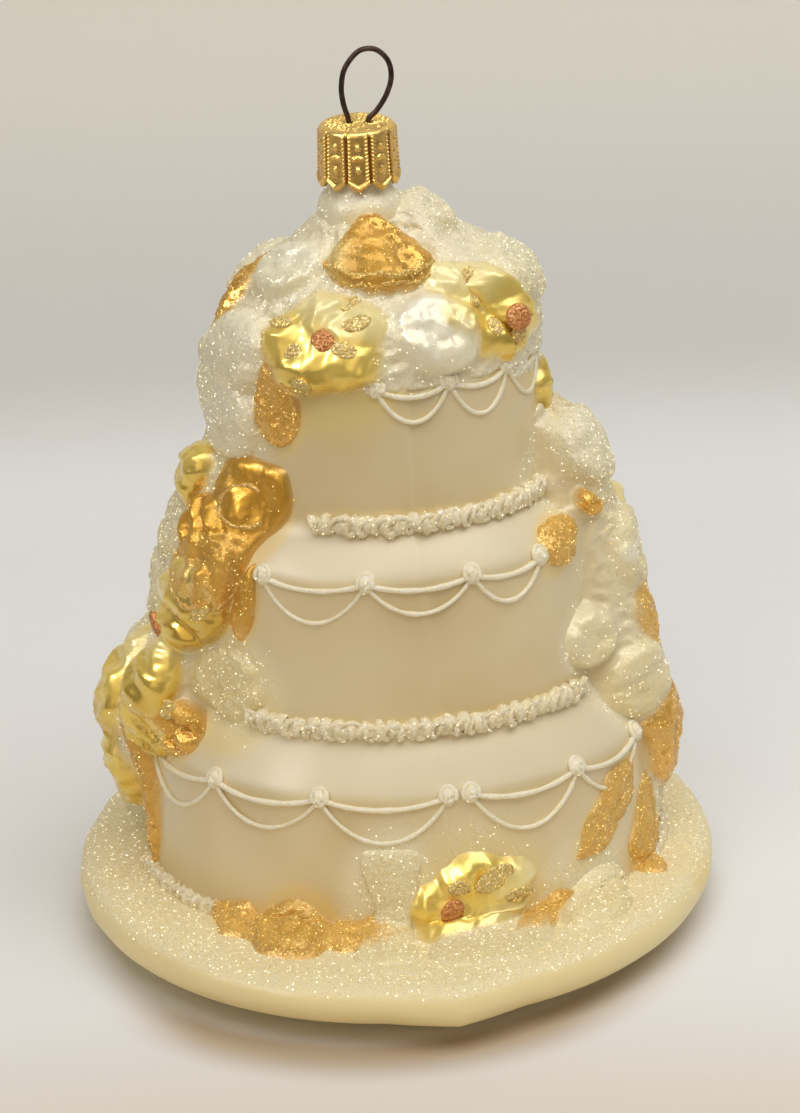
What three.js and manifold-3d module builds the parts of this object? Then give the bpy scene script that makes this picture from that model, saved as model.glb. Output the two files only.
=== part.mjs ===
// A mouth-blown glass tree ornament in the form of a three-tier wedding cake.
// One glass body carries the round board, three oval tiers, moulded flowers and leaves, and the piped
// swags and bead borders that are stuck to it. A stamped metal cap sits over its neck, and a wire
// loop springs out of the cap. Millimetres, +Z up, the front faces -Y.
// The origin is the middle of the flat spot under the board. The heights below are measured from just
// under the board's rim, and LIFT is how far the glass bulges further down to that spot.

import * as THREE from 'three';
import { mergeVertices } from 'three/addons/utils/BufferGeometryUtils.js';
import Module from 'manifold-3d';

// Driving dimensions of the glass
const LIFT = 3.5;
const SEGMENTS = 32;
const WELD = 1e-4;
const OVAL = 0.85;
const BOARD = {
  half: 53.7, halfDepth: 58.6, x: -1.5, y: 0.4, spot: 24, belly: 42, bellyZ: -1.4,
  rim: 3.6, rimZ: 4.0, rimFrom: -72, rimTo: 78, rimSteps: 4,
  crown: 42.9, crownDepth: 41.6, crownZ: 7.1,
  seam: 9.6, seamReach: 2.8, seamSpread: 8, seamFade: 0.2,
};
const TIERS = [
  { x: -0.2, base: 43.0, wall: 41.8, baseZ: 6.2, rimZ: 30.2 },
  { x: -0.9, base: 34.8, wall: 33.8, baseZ: 39.2, rimZ: 65.0 },
  { x: -1.6, base: 27.2, wall: 26.2, baseZ: 72.2, rimZ: 95.7 },
];
const RIM_ROUND = [[-0.2, 0.0], [2.4, 1.9]];
const DOME = [[102.0, 19.5], [108.0, 12.4], [112.4, 8.3]];
const NECK = {
  x: -2.8, root: 7.3, rootZ: 115.5, shoulder: 6.9, shoulderZ: 120.7, pike: 4.8, pikeZ: 122.5, topZ: 131.6,
};
const BORE = { radius: 3.1, floorZ: 118.0 };

// Driving dimensions of the piped icing: angles in degrees round a tier, 0 at the front and 90 at the right
const UPPER_STRING = { radius: 0.6, count: 2, proud: 0.35 };
const LOWER_STRING = { radius: 0.6, count: 4, proud: 0.1 };
const KNOT = { radius: 1.25, proud: 0.3 };
const FRONT = (start, stop) => ({ start, stop, double: true });
const BACK = (start, stop) => ({ start, stop, double: false });
const SWAGS = [
  { count: 12, phase: -17, upper: 1.7, lower: 7.0, spans: [FRONT(-77, 73), BACK(163, 253)] },
  { count: 13, phase: -6.4, upper: 1.4, lower: 6.2, spans: [FRONT(-35, 50), BACK(131, 216)] },
  { count: 13, phase: 0, upper: 1.8, lower: 6.0, spans: [FRONT(0, 84), BACK(138, 222)] },
];
const BEAD = { radius: 2.3, waist: 1.3, pitch: 4.7, lift: 0.7, proud: 0.4 };
const BORDERS = [
  [[-80, -46], [68, 100], [200, 224]],
  [[-41, 60], [122, 190]],
  [[-23, 88], [126, 166], [204, 232]],
];

// Driving dimensions of the cap and its wire
const CAP = {
  radius: 6.15, skirt: 6.45, wall: 0.55, topZ: 132.95, shoulder: 0.9, valleyZ: 124.55, tipZ: 123.05,
  panels: 10, groove: 0.35, perPanel: 6, slot: 0.4, holeSides: 12, cutDepth: 4.4,
};
const WIRE = { radius: 0.44, clear: 0.3, sides: 8, steps: 46 };
const LEFT_LEG = -1.3;
const RIGHT_LEG = 1.9;

// The wire's route, as distances to the right of the neck's axis and heights
const LOOP_ROUTE = [
  [LEFT_LEG, 123.5], [LEFT_LEG, 130.5], [LEFT_LEG, 133.3], [-2.0, 136.1], [-2.2, 138.8], [-1.5, 141.9],
  [1.0, 144.7], [3.4, 144.8], [5.3, 143.0], [5.8, 140.3], [5.0, 137.5], [3.3, 134.8],
  [RIGHT_LEG, 133.3], [RIGHT_LEG, 130.5], [RIGHT_LEG, 123.5],
];

// The moulded kinds: lobes round the edge, how deep the edge dips between them, the mound's height as a
// share of its depth on an inner ring and in the middle, and how blunt a pointed one's ends are
const KINDS = {
  blossom: { lobes: 5, perLobe: 2, notch: 0.24, ring: 0.68, height: 1.0, middle: 0.6 },
  rose: { lobes: 5, perLobe: 2, notch: 0.14, ring: 0.66, height: 0.9, middle: 1.0 },
  puff: { lobes: 4, perLobe: 2, notch: 0.1, ring: 0.64, height: 0.88, middle: 1.0 },
  leaf: { lobes: 1, perLobe: 6, notch: 0, ring: 0.5, height: 0.8, middle: 1.0, taper: 0.4 },
};
const ROOT = { depth: 3.5, share: 0.75 };

// Each relief: kind, angle round the body, height, distance out from the wall, tilt upwards, spin,
// half width, half height and depth
const RELIEFS = [
  // the top, from the neck's foot out to the rim of the small tier
  ['rose', 14, 112.2, -0.5, 42, 0, 9.6, 6.8, 5.8],
  ['puff', 92, 114.0, 0.2, 35, 0, 6.4, 6.6, 4.6],
  ['puff', -56, 108.4, 0.6, 42, 20, 8.8, 6.8, 4.4],
  ['leaf', -82, 104.0, 1.8, 45, 20, 3.6, 9.6, 3.2],
  ['blossom', -16, 100.0, 0.2, 30, 10, 12.4, 10.5, 5.8],
  ['puff', 28, 101.5, 0.0, 32, 30, 8.6, 8.6, 5.0],
  ['blossom', 66, 101.5, 2.6, 30, 40, 11.4, 11.0, 6.4],
  ['puff', 84, 105.5, 5.6, 36, 0, 10.0, 8.8, 5.6],
  ['puff', -60, 99.0, 1.2, 24, 0, 9.4, 8.8, 4.6],
  ['puff', -64, 87.5, 0.4, 4, 36, 8.6, 9.2, 4.2],
  ['leaf', -35, 91.0, 0.0, 4, -8, 4.2, 7.2, 1.9],
  // the left-hand cascade from the middle tier to the board
  ['blossom', -77, 76.0, 2.0, 16, 0, 5.4, 6.8, 5.2],
  ['leaf', -43, 76.5, 2.0, 14, -4, 7.0, 8.2, 3.2],
  ['rose', -50, 68.0, 2.2, 20, 0, 8.6, 9.6, 6.0],
  ['puff', -86, 67.0, 2.8, 10, 0, 7.6, 8.2, 4.6],
  ['blossom', -64, 57.5, -0.3, 4, 20, 10.2, 8.0, 5.0],
  ['puff', -50, 45.2, 0.4, 10, 0, 7.2, 7.0, 2.6],
  ['puff', -96, 54.0, 1.0, 6, 20, 8.4, 9.0, 5.4],
  ['blossom', -75, 40.5, 6.6, 14, 30, 11.6, 11.4, 7.6],
  ['leaf', -62, 32.5, -0.2, 20, 28, 4.6, 7.4, 3.0],
  ['leaf', -77, 18.5, -0.2, 0, 4, 3.0, 14.0, 2.8],
  ['leaf', -92, 25.0, 0.8, 2, 6, 5.6, 11.6, 7.4],
  ['puff', -106, 38.0, 5.0, 16, 0, 9.4, 9.0, 5.6],
  // the flowers on the board in front
  ['rose', -23.5, 7.6, 3.2, 46, 0, 7.2, 8.0, 4.4],
  ['leaf', -36, 7.0, 3.2, 52, 76, 3.8, 6.8, 3.0],
  ['leaf', -9, 7.6, 3.2, 48, -78, 3.8, 7.2, 3.0],
  ['leaf', -1, 11.0, 0.6, 34, 0, 6.6, 10.6, 2.8],
  ['blossom', 15, 11.2, 0.8, 34, 8, 11.6, 8.8, 4.2],
  ['puff', 17, 6.6, 7.0, 60, 0, 12.0, 9.0, 3.0],
  ['leaf', 29, 8.0, 3.2, 46, -60, 3.8, 7.0, 3.4],
  ['puff', 42.5, 8.0, 3.2, 42, 0, 8.8, 7.8, 4.2],
  ['leaf', 54, 20.4, -0.2, 4, -38, 3.6, 10.6, 2.6],
  ['leaf', 71, 11.5, 0.4, 16, -22, 5.6, 10.6, 4.0],
  // the right-hand cascade
  ['puff', 82, 76.5, 4.6, 24, 10, 9.6, 9.0, 6.4],
  ['leaf', 56, 65.0, 0.0, 36, -50, 3.2, 5.0, 2.2],
  ['puff', 86, 58.5, 2.4, 6, 0, 9.8, 9.4, 6.8],
  ['puff', 67, 47.6, 0.2, 8, 30, 5.6, 5.4, 4.4],
  ['puff', 80, 38.5, 4.2, 24, 0, 8.4, 8.0, 5.2],
  ['leaf', 90, 47.0, 3.2, 8, -8, 5.2, 11.4, 6.8],
  ['leaf', 91, 26.0, 0.8, 4, -6, 5.8, 13.4, 5.6],
  // the back, finished as the front is
  ['blossom', 190, 101.0, 0.2, 30, 15, 11.0, 10.0, 6.0],
  ['puff', 150, 103.0, 0.2, 34, 0, 9.4, 8.6, 5.0],
  ['puff', 236, 103.0, 0.2, 34, 0, 9.4, 8.6, 5.0],
  ['puff', 108, 72.0, 2.4, 20, 0, 8.4, 8.4, 5.4],
  ['blossom', 106, 58.0, 0.0, 6, 0, 9.0, 9.0, 5.6],
  ['rose', 226, 68.0, 2.4, 20, 0, 8.8, 8.8, 5.6],
  ['puff', 248, 62.0, 1.0, 12, 0, 7.6, 8.0, 4.6],
  ['puff', 112, 42.0, 3.0, 22, 0, 8.4, 8.2, 5.0],
  ['leaf', 114, 24.0, 0.0, 2, 10, 4.4, 12.0, 3.0],
  ['blossom', 212, 41.0, 3.8, 20, 0, 9.4, 9.0, 5.6],
  ['rose', 180, 7.4, 3.2, 46, 0, 7.4, 7.0, 4.2],
  ['leaf', 167, 7.2, 3.2, 48, 76, 3.8, 7.0, 3.0],
  ['leaf', 193, 7.2, 3.2, 48, -76, 3.8, 7.0, 3.0],
  ['puff', 128, 7.6, 3.2, 44, 0, 8.6, 8.0, 4.4],
  ['puff', 246, 7.6, 3.2, 44, 0, 9.0, 8.4, 4.4],
];

const wasm = await Module();
wasm.setup();

const rad = THREE.MathUtils.degToRad;

// A closed skin over rings of points, from the point that closes the first to the one that closes the last.
// The rings run anticlockwise as seen from the side that the skin grows towards.
function ringSkin(first, rings, last) {
  const count = rings[0].length;
  const points = [first, ...rings.flat(), last];
  const end = points.length - 1;
  const index = [];
  for (let i = 0; i < count; i += 1) {
    const next = (i + 1) % count;
    index.push(0, 1 + next, 1 + i);
    for (let r = 0; r + 1 < rings.length; r += 1) {
      const low = 1 + r * count;
      const high = low + count;
      index.push(low + i, low + next, high + next, low + i, high + next, high + i);
    }
    index.push(end, end - count + i, end - count + next);
  }
  const geometry = new THREE.BufferGeometry().setFromPoints(points);
  geometry.setIndex(index);
  return geometry;
}

// The solid inside a closed geometry
function solidOf(geometry) {
  const bare = geometry.clone();
  bare.deleteAttribute('normal');
  bare.deleteAttribute('uv');
  const merged = mergeVertices(bare, WELD);
  const vertProperties = new Float32Array(merged.attributes.position.array);
  const triVerts = new Uint32Array(merged.index.array);
  return new wasm.Manifold(new wasm.Mesh({ numProp: 3, vertProperties, triVerts }));
}

function geometryOf(solid) {
  const mesh = solid.getMesh();
  const geometry = new THREE.BufferGeometry();
  geometry.setAttribute('position', new THREE.BufferAttribute(mesh.vertProperties, 3));
  geometry.setIndex(new THREE.BufferAttribute(mesh.triVerts, 1));
  geometry.computeVertexNormals();
  return geometry;
}

// The largest closed shell of a solid, so that small hollows sealed between fused pieces are filled
function outerShell(solid) {
  return solid.decompose().reduce((most, shell) => (shell.volume() > most.volume() ? shell : most));
}

// The levels of the glass from the flat spot up to the neck's mouth: height, half width, half depth,
// centre, and how much of the seam's corner shows there
function bodyLevels() {
  const { half, halfDepth, x, y, spot, belly, bellyZ, rim, rimZ, rimFrom, rimTo, rimSteps } = BOARD;
  const deeper = halfDepth - half;
  const levels = [
    { z: -LIFT, a: spot, b: spot, x: 0, y: 0, seam: 0 },
    { z: bellyZ, a: belly, b: belly + deeper, x, y, seam: 0 },
  ];
  for (let i = 0; i <= rimSteps; i += 1) {
    const turn = rad(THREE.MathUtils.lerp(rimFrom, rimTo, i / rimSteps));
    const a = half - rim + rim * Math.cos(turn);
    levels.push({ z: rimZ + rim * Math.sin(turn), a, b: a + deeper, x, y, seam: 1 });
  }
  const tierLevel = (tier, z, a) => levels.push({ z, a, b: a * OVAL, x: tier.x, y: 0, seam: 0 });
  levels.push({ z: BOARD.crownZ, a: BOARD.crown, b: BOARD.crownDepth, x, y: 0, seam: BOARD.seamFade });
  for (const tier of TIERS) {
    tierLevel(tier, tier.baseZ, tier.base);
    tierLevel(tier, (tier.baseZ + tier.rimZ) / 2, (tier.base + tier.wall) / 2);
    for (const [up, inward] of RIM_ROUND) {
      tierLevel(tier, tier.rimZ + up, tier.wall - inward);
    }
  }
  const top = TIERS[TIERS.length - 1];
  for (const [z, a] of DOME) {
    const blend = (z - top.rimZ) / (NECK.rootZ - top.rimZ);
    const oval = THREE.MathUtils.lerp(OVAL, 1, blend);
    levels.push({ z, a, b: a * oval, x: THREE.MathUtils.lerp(top.x, NECK.x, blend), y: 0, seam: 0 });
  }
  const neckLevel = (z, a) => levels.push({ z, a, b: a, x: NECK.x, y: 0, seam: 0 });
  neckLevel(NECK.rootZ, NECK.root);
  neckLevel(NECK.shoulderZ, NECK.shoulder);
  neckLevel(NECK.pikeZ, NECK.pike);
  neckLevel(NECK.topZ, NECK.pike);
  neckLevel(NECK.topZ, BORE.radius);
  neckLevel(BORE.floorZ, BORE.radius);
  return levels;
}

const LEVELS = bodyLevels();

// The outline of the tiers and the neck at a height, between the levels above and below it
function outlineAt(z) {
  const foot = LEVELS.findIndex((level) => level.a === TIERS[0].base);
  const above = LEVELS.findIndex((level, i) => i > foot && level.z > z);
  const high = LEVELS[above];
  const low = LEVELS[above - 1];
  const share = (z - low.z) / (high.z - low.z);
  const mix = (key) => THREE.MathUtils.lerp(low[key], high[key], share);
  return { a: mix('a'), b: mix('b'), x: mix('x'), y: mix('y') };
}

function onWall(angle, z, out) {
  const { a, b, x, y } = outlineAt(z);
  return new THREE.Vector3(x + (a + out) * Math.sin(rad(angle)), y - (b + out) * Math.cos(rad(angle)), z);
}

function glassCore() {
  const rings = LEVELS.map(({ z, a, b, x, y, seam }) => Array.from({ length: SEGMENTS }, (_, i) => {
    const angle = BOARD.seam + (360 * i) / SEGMENTS;
    const away = (THREE.MathUtils.euclideanModulo(angle - BOARD.seam + 180, 360) - 180) / BOARD.seamSpread;
    const corner = seam * BOARD.seamReach * Math.exp(-away * away);
    const across = (a + corner) * Math.sin(rad(angle));
    const along = (b + corner) * Math.cos(rad(angle));
    return new THREE.Vector3(x + across, y - along, z);
  }));
  const floor = new THREE.Vector3(0, 0, -LIFT);
  const boreFloor = new THREE.Vector3(NECK.x, 0, BORE.floorZ);
  return ringSkin(floor, rings, boreFloor);
}

// One flower or leaf: a lobed mound that follows the wall, with a root that sinks into the glass
function relief([kind, angle, z, out, tilt, spin, halfWidth, halfHeight, depth]) {
  const { lobes, perLobe, notch, ring, height, middle, taper = 0 } = KINDS[kind];
  const { a, b } = outlineAt(z);
  const facing = Math.atan2(Math.sin(rad(angle)) / a, Math.cos(rad(angle)) / b);
  const count = lobes * perLobe;
  const place = new THREE.Matrix4()
    .makeTranslation(onWall(angle, z, out))
    .multiply(new THREE.Matrix4().makeRotationZ(facing))
    .multiply(new THREE.Matrix4().makeRotationX(Math.PI / 2 - rad(tilt)))
    .multiply(new THREE.Matrix4().makeRotationZ(rad(spin)));
  const loop = (share, level) => Array.from({ length: count }, (_, i) => {
    const turn = (2 * Math.PI * i) / count;
    const lobe = 1 - notch * (0.5 - 0.5 * Math.cos(lobes * turn));
    const narrow = Math.abs(Math.sin(turn)) ** taper;
    const across = share * halfWidth * lobe * narrow * Math.sin(turn);
    const along = share * halfHeight * lobe * Math.cos(turn);
    const wrap = (across * across) / (2 * a);
    return new THREE.Vector3(-across, along, level - wrap).applyMatrix4(place);
  });
  const loops = [loop(ROOT.share, -ROOT.depth), loop(1, 0), loop(ring, depth * height)];
  const foot = new THREE.Vector3(0, 0, -ROOT.depth).applyMatrix4(place);
  const crown = new THREE.Vector3(0, 0, depth * middle).applyMatrix4(place);
  return ringSkin(foot, loops, crown);
}

// A piped rope with a four-cornered section along angles and heights on the wall, one radius for each step
function pipedRope(steps) {
  const path = steps.map(({ angle, z, proud }) => onWall(angle, z, proud));
  const rings = steps.map(({ angle, z, radius }, i) => {
    const { a, b } = outlineAt(z);
    const outward = new THREE.Vector3(Math.sin(rad(angle)) / a, -Math.cos(rad(angle)) / b, 0).normalize();
    const before = path[Math.max(i - 1, 0)];
    const after = path[Math.min(i + 1, path.length - 1)];
    const sideways = after.clone().sub(before).normalize().cross(outward);
    const corners = [[1, 0], [0, 1], [-1, 0], [0, -1]];
    return corners.map(([out, side]) => path[i].clone()
      .addScaledVector(outward, out * radius)
      .addScaledVector(sideways, side * radius));
  });
  return ringSkin(path[0], rings, path[path.length - 1]);
}

// A string of icing that sags between two knots at a tier's rim
function sagString(tier, from, to, sag, { radius, count, proud }) {
  const steps = [];
  for (let i = 0; i <= count; i += 1) {
    const share = i / count;
    const z = tier.rimZ - sag * 4 * share * (1 - share);
    steps.push({ angle: THREE.MathUtils.lerp(from, to, share), z, proud, radius });
  }
  return pipedRope(steps);
}

function knot(at, turn) {
  const geometry = new THREE.OctahedronGeometry(KNOT.radius, 0);
  geometry.rotateX(turn);
  geometry.translate(at.x, at.y, at.z);
  return geometry;
}

// The swags of a tier; where the span is double, a second string above and a knot at each end
function swagWork(tier, { count, phase, upper, lower, spans }) {
  const pitch = 360 / count;
  const pieces = [];
  for (const { start, stop, double } of spans) {
    const first = Math.ceil((start - phase) / pitch);
    const last = Math.floor((stop - phase) / pitch);
    for (let k = first; k <= last; k += 1) {
      const angle = phase + k * pitch;
      if (double) {
        pieces.push(knot(onWall(angle, tier.rimZ, KNOT.proud), k));
      }
      if (k < last) {
        pieces.push(sagString(tier, angle, angle + pitch, lower, LOWER_STRING));
      }
      if (k < last && double) {
        pieces.push(sagString(tier, angle, angle + pitch, upper, UPPER_STRING));
      }
    }
  }
  return pieces;
}

// The bead borders at a tier's foot: ropes that swell at each bead and narrow between them
function borderWork(tier, spans) {
  const pitch = THREE.MathUtils.radToDeg(BEAD.pitch / (tier.base * (1 + OVAL) / 2));
  return spans.map(([start, stop]) => {
    const beads = Math.round((stop - start) / pitch);
    const steps = [];
    for (let k = 0; k <= 2 * beads; k += 1) {
      const angle = THREE.MathUtils.lerp(start, stop, k / (2 * beads));
      const radius = k % 2 === 0 ? BEAD.waist : BEAD.radius;
      steps.push({ angle, z: tier.baseZ + BEAD.lift, proud: BEAD.proud, radius });
    }
    return pipedRope(steps);
  });
}

function glassBody() {
  const pieces = RELIEFS.map(relief);
  TIERS.forEach((tier, i) => {
    pieces.push(...swagWork(tier, SWAGS[i]));
    pieces.push(...borderWork(tier, BORDERS[i]));
  });
  let solid = solidOf(glassCore());
  for (const piece of pieces) {
    solid = solid.add(solidOf(piece));
  }
  return geometryOf(outerShell(solid));
}

// The stamped cap: a fluted cup, open below, with pointed scallops along its skirt
function capShell() {
  const { radius, skirt, wall, topZ, shoulder, valleyZ, tipZ, panels, groove, perPanel } = CAP;
  const count = panels * perPanel;
  const ring = (r, z, flute, hem) => Array.from({ length: count }, (_, i) => {
    const angle = (2 * Math.PI * i) / count;
    const across = Math.abs((((i + perPanel / 2) % perPanel) / perPanel) * 2 - 1);
    const reach = r - (flute && across === 1 ? groove : 0);
    const level = hem ? THREE.MathUtils.lerp(tipZ, valleyZ, across) : z;
    return new THREE.Vector3(NECK.x + reach * Math.sin(angle), -reach * Math.cos(angle), level);
  });
  const rings = [
    ring(radius - 2 * wall, topZ - wall, false, false),
    ring(skirt - wall - groove, 0, false, true),
    ring(skirt, 0, true, true),
    ring(radius, topZ - shoulder, true, false),
    ring(radius - shoulder, topZ, false, false),
  ];
  const ceiling = new THREE.Vector3(NECK.x, 0, topZ - wall);
  const crown = new THREE.Vector3(NECK.x, 0, topZ);
  return ringSkin(ceiling, rings, crown);
}

function capPart() {
  const holeRadius = WIRE.radius + WIRE.clear;
  const cutters = [LEFT_LEG, RIGHT_LEG].map((leg) => {
    const hole = new THREE.CylinderGeometry(holeRadius, holeRadius, CAP.cutDepth, CAP.holeSides);
    hole.rotateX(Math.PI / 2);
    hole.translate(NECK.x + leg, 0, CAP.topZ);
    return hole;
  });
  const slot = new THREE.BoxGeometry(RIGHT_LEG - LEFT_LEG, CAP.slot, CAP.cutDepth);
  slot.translate(NECK.x + (LEFT_LEG + RIGHT_LEG) / 2, 0, CAP.topZ);
  let solid = solidOf(capShell());
  for (const cutter of [...cutters, slot]) {
    solid = solid.subtract(solidOf(cutter));
  }
  return geometryOf(solid);
}

// The wire: two legs down into the neck, and an egg-shaped loop that leans to the right
function wireLoop() {
  const points = LOOP_ROUTE.map(([x, z]) => new THREE.Vector3(NECK.x + x, 0, z));
  const route = new THREE.CatmullRomCurve3(points);
  const section = new THREE.Shape();
  section.absarc(0, 0, WIRE.radius, 0, 2 * Math.PI);
  return new THREE.ExtrudeGeometry(section, {
    steps: WIRE.steps, curveSegments: WIRE.sides / 2, extrudePath: route, bevelEnabled: false,
  });
}

function part(name, geometry, color, roughness, metalness) {
  geometry.translate(0, 0, LIFT);
  const material = new THREE.MeshStandardMaterial({ color, roughness, metalness });
  const mesh = new THREE.Mesh(geometry, material);
  mesh.name = name;
  return mesh;
}

const ornament = new THREE.Group();
ornament.add(part('glass_body', glassBody(), 0xeee2c8, 0.32, 0.1));
ornament.add(part('cap', capPart(), 0xd2a13a, 0.3, 1.0));
ornament.add(part('hanger_loop', wireLoop(), 0x3f2f29, 0.45, 0.8));

export default ornament;
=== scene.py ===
"""Looks of a blown glass tree ornament in the form of a tiered wedding cake, built around its solids."""

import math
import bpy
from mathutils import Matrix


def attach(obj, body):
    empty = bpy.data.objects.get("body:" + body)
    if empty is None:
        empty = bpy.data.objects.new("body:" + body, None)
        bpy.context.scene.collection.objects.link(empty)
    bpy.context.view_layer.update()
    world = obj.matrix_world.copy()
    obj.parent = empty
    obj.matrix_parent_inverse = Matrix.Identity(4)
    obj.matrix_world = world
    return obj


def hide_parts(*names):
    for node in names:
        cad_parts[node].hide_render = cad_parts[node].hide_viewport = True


bl_info = {
    "name": "Wedding Cake Ornament",
    "version": (1, 0, 0),
    "blender": (4, 5, 0),
    "location": "View3D > Sidebar > Cake Ornament",
    "description": "Pearl glass tiers, painted flowers, piped icing, glitter, a cap and a wire loop",
    "category": "Object",
}

from collections import namedtuple

import bpy
import numpy as np
from mathutils import Matrix

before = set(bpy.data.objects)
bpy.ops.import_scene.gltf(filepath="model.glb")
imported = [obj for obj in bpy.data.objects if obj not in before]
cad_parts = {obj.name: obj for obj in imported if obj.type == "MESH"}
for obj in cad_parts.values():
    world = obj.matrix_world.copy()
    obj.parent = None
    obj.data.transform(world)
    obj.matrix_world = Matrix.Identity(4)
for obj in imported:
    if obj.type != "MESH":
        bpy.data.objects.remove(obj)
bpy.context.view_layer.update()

BODY = "root"
GLASS_NODE, CAP_NODE, WIRE_NODE = "glass_body", "cap", "hanger_loop"
MM = 0.001
TAU = 2.0 * math.pi

# How far the underside bulges below the rim. Sizes are in millimetres, and heights start just under it.
LIFT = 3.5

# The tiers: centre across, half width at the foot and under the rim, foot height, rim height
OVAL = 0.85
TIERS = (
    (-0.2, 43.0, 41.8, 6.2, 30.2),
    (-0.9, 34.8, 33.8, 39.2, 65.0),
    (-1.6, 27.2, 26.2, 72.2, 95.7),
)
# The sloping ledge on a tier: how far under the rim it starts, and how far it rises and runs in
LEDGE_DROP, LEDGE_RISE, LEDGE_RUN = 0.2, 2.4, 1.9
# The dome over the tiers, the neck and the bore in it: heights and half widths
DOME = ((102.0, 19.5), (108.0, 12.4), (112.4, 8.3))
NECK_X = -2.8
NECK = ((115.5, 7.3), (120.7, 6.9), (122.5, 4.8), (131.6, 4.8))
BORE = ((131.6, 3.1), (118.0, 3.1))
# The board: centre, resting spot, belly, rolled rim, crown, and the angles and points of the rim's arc
BOARD = {
    "x": -1.5, "y": 0.4, "spot": 24.0, "belly": 42.0, "belly_z": -1.4,
    "rim": 3.6, "rim_z": 4.0, "crown": 42.9, "crown_depth": 41.6, "crown_z": 7.1, "roll": (-72, 78, 15),
}
# The mould's seam: its angle, and half the angle that its corner on the board takes up
SEAM, SEAM_SPREAD = 9.6, 13.0
# How far corners of the profile are eased, the distance between the rings of the tiers and of the board,
# and the points round each ring
EASE, TIER_STEP, BOARD_STEP, RING_POINTS = 2.4, 0.8, 1.1, 288
# The patch of glitter on the wall behind the star on the board: its angle and half its spread
PATCH, PATCH_SPREAD = 16.0, 9.0
# Heights between which marks and forms of the glass come in, or fade out where the first is the higher
FADES = {
    "board_face": (5.9, 6.9), "board_edge": (8.5, 6.5), "patch": (29.0, 23.0), "neck": (106.0, 114.0),
    "first_ledge": (7.5, 9.0), "last_ledge": (112.0, 104.0), "seam_foot": (5.0, 8.0),
    "seam_top": (112.0, 100.0), "blown_foot": (1.0, 4.0), "blown_top": (118.0, 110.0),
}
# Overspray round the flowers, by mark: paint, spread, how far it hangs down, and strength
MISTS = {
    "glitter": ("white", 0.22, 0.0, 0.7),
    "veil": ("white", 0.3, 0.0, 0.5),
    "yellow_mist": ("yellow", 0.24, 1.5, 0.4),
    "amber_mist": ("amber", 0.14, 0.6, 0.5),
}
# The moulded skin of the flowers: how far it is sunk where there is none, how softly flowers run into one
# another, how softly their paints do, and its mesh size
SUNK, BLEND, BLUR, MESH = 2.6, 0.55, 0.42, 0.4
# The bodies of glass that the flowers lie on: half width by height, front edge by height, back edge in
# degrees, and tone from white to champagne
BODIES = {
    "crown": (
        ((84, 22.0), (93, 24.2), (96, 26.0), (99, 26.0), (102, 24.2), (106, 20.8), (110, 17.0),
         (113, 12.4), (117, 7.6), (119, 6.0)),
        ((84, -200),), 200, 0.2,
    ),
    "right_crown": (
        ((88, 24.5), (94, 26.6), (100, 27.6), (107, 26.4), (111, 22.5), (114, 15.5), (117.5, 10.5),
         (121, 6.0)),
        ((84, 52),), 140, 0.2,
    ),
    "left": (
        ((7, 41.5), (10, 44.0), (16, 45.8), (25, 47.2), (34, 47.0), (40, 44.5), (44, 41.0), (50, 38.0),
         (61, 36.5), (66, 34.0), (72, 31.5), (80, 28.5), (88, 25.0)),
        ((8, -92), (20, -86), (30, -76), (40, -62), (52, -56), (60, -50), (72, -46), (86, -50)),
        -128, 0.4,
    ),
    "right": (
        ((7, 42.5), (14, 43.8), (20, 45.2), (26, 46.0), (34, 45.6), (42, 43.6), (50, 41.6), (57, 40.0),
         (66, 38.0), (76, 36.2), (81, 33.5), (86, 26.0), (88, 24.0)),
        ((8, 60), (18, 72), (26, 78), (34, 74), (42, 67), (60, 68), (72, 68), (84, 72)),
        128, 0.9,
    ),
}
# How softly a body fades in at its front edge and out at its back edge, in degrees, and how much less it
# stands out to the front than to the side
FRONT_FADE, BACK_FADE, BODY_OVAL = (-8.0, 10.0), (-9.0, 9.0), 0.9
# Creases of the glass between the flowers: height, width and seed of each
LUMPS = ((0.7, 6.0, 11), (0.25, 2.4, 12))
# The height under which paint gives way to bare glass, and the glitter on the painted glass: sugar, and
# gilt where its tone is past champagne
BARE, BODY_SUGAR, BODY_GILT, CHAMPAGNE = -0.3, 0.8, 0.3, 0.3
# Over how many rows the edges of the bodies and the corners under the flowers are eased
BODY_EASE, CORNER_EASE = 6, 7

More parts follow.
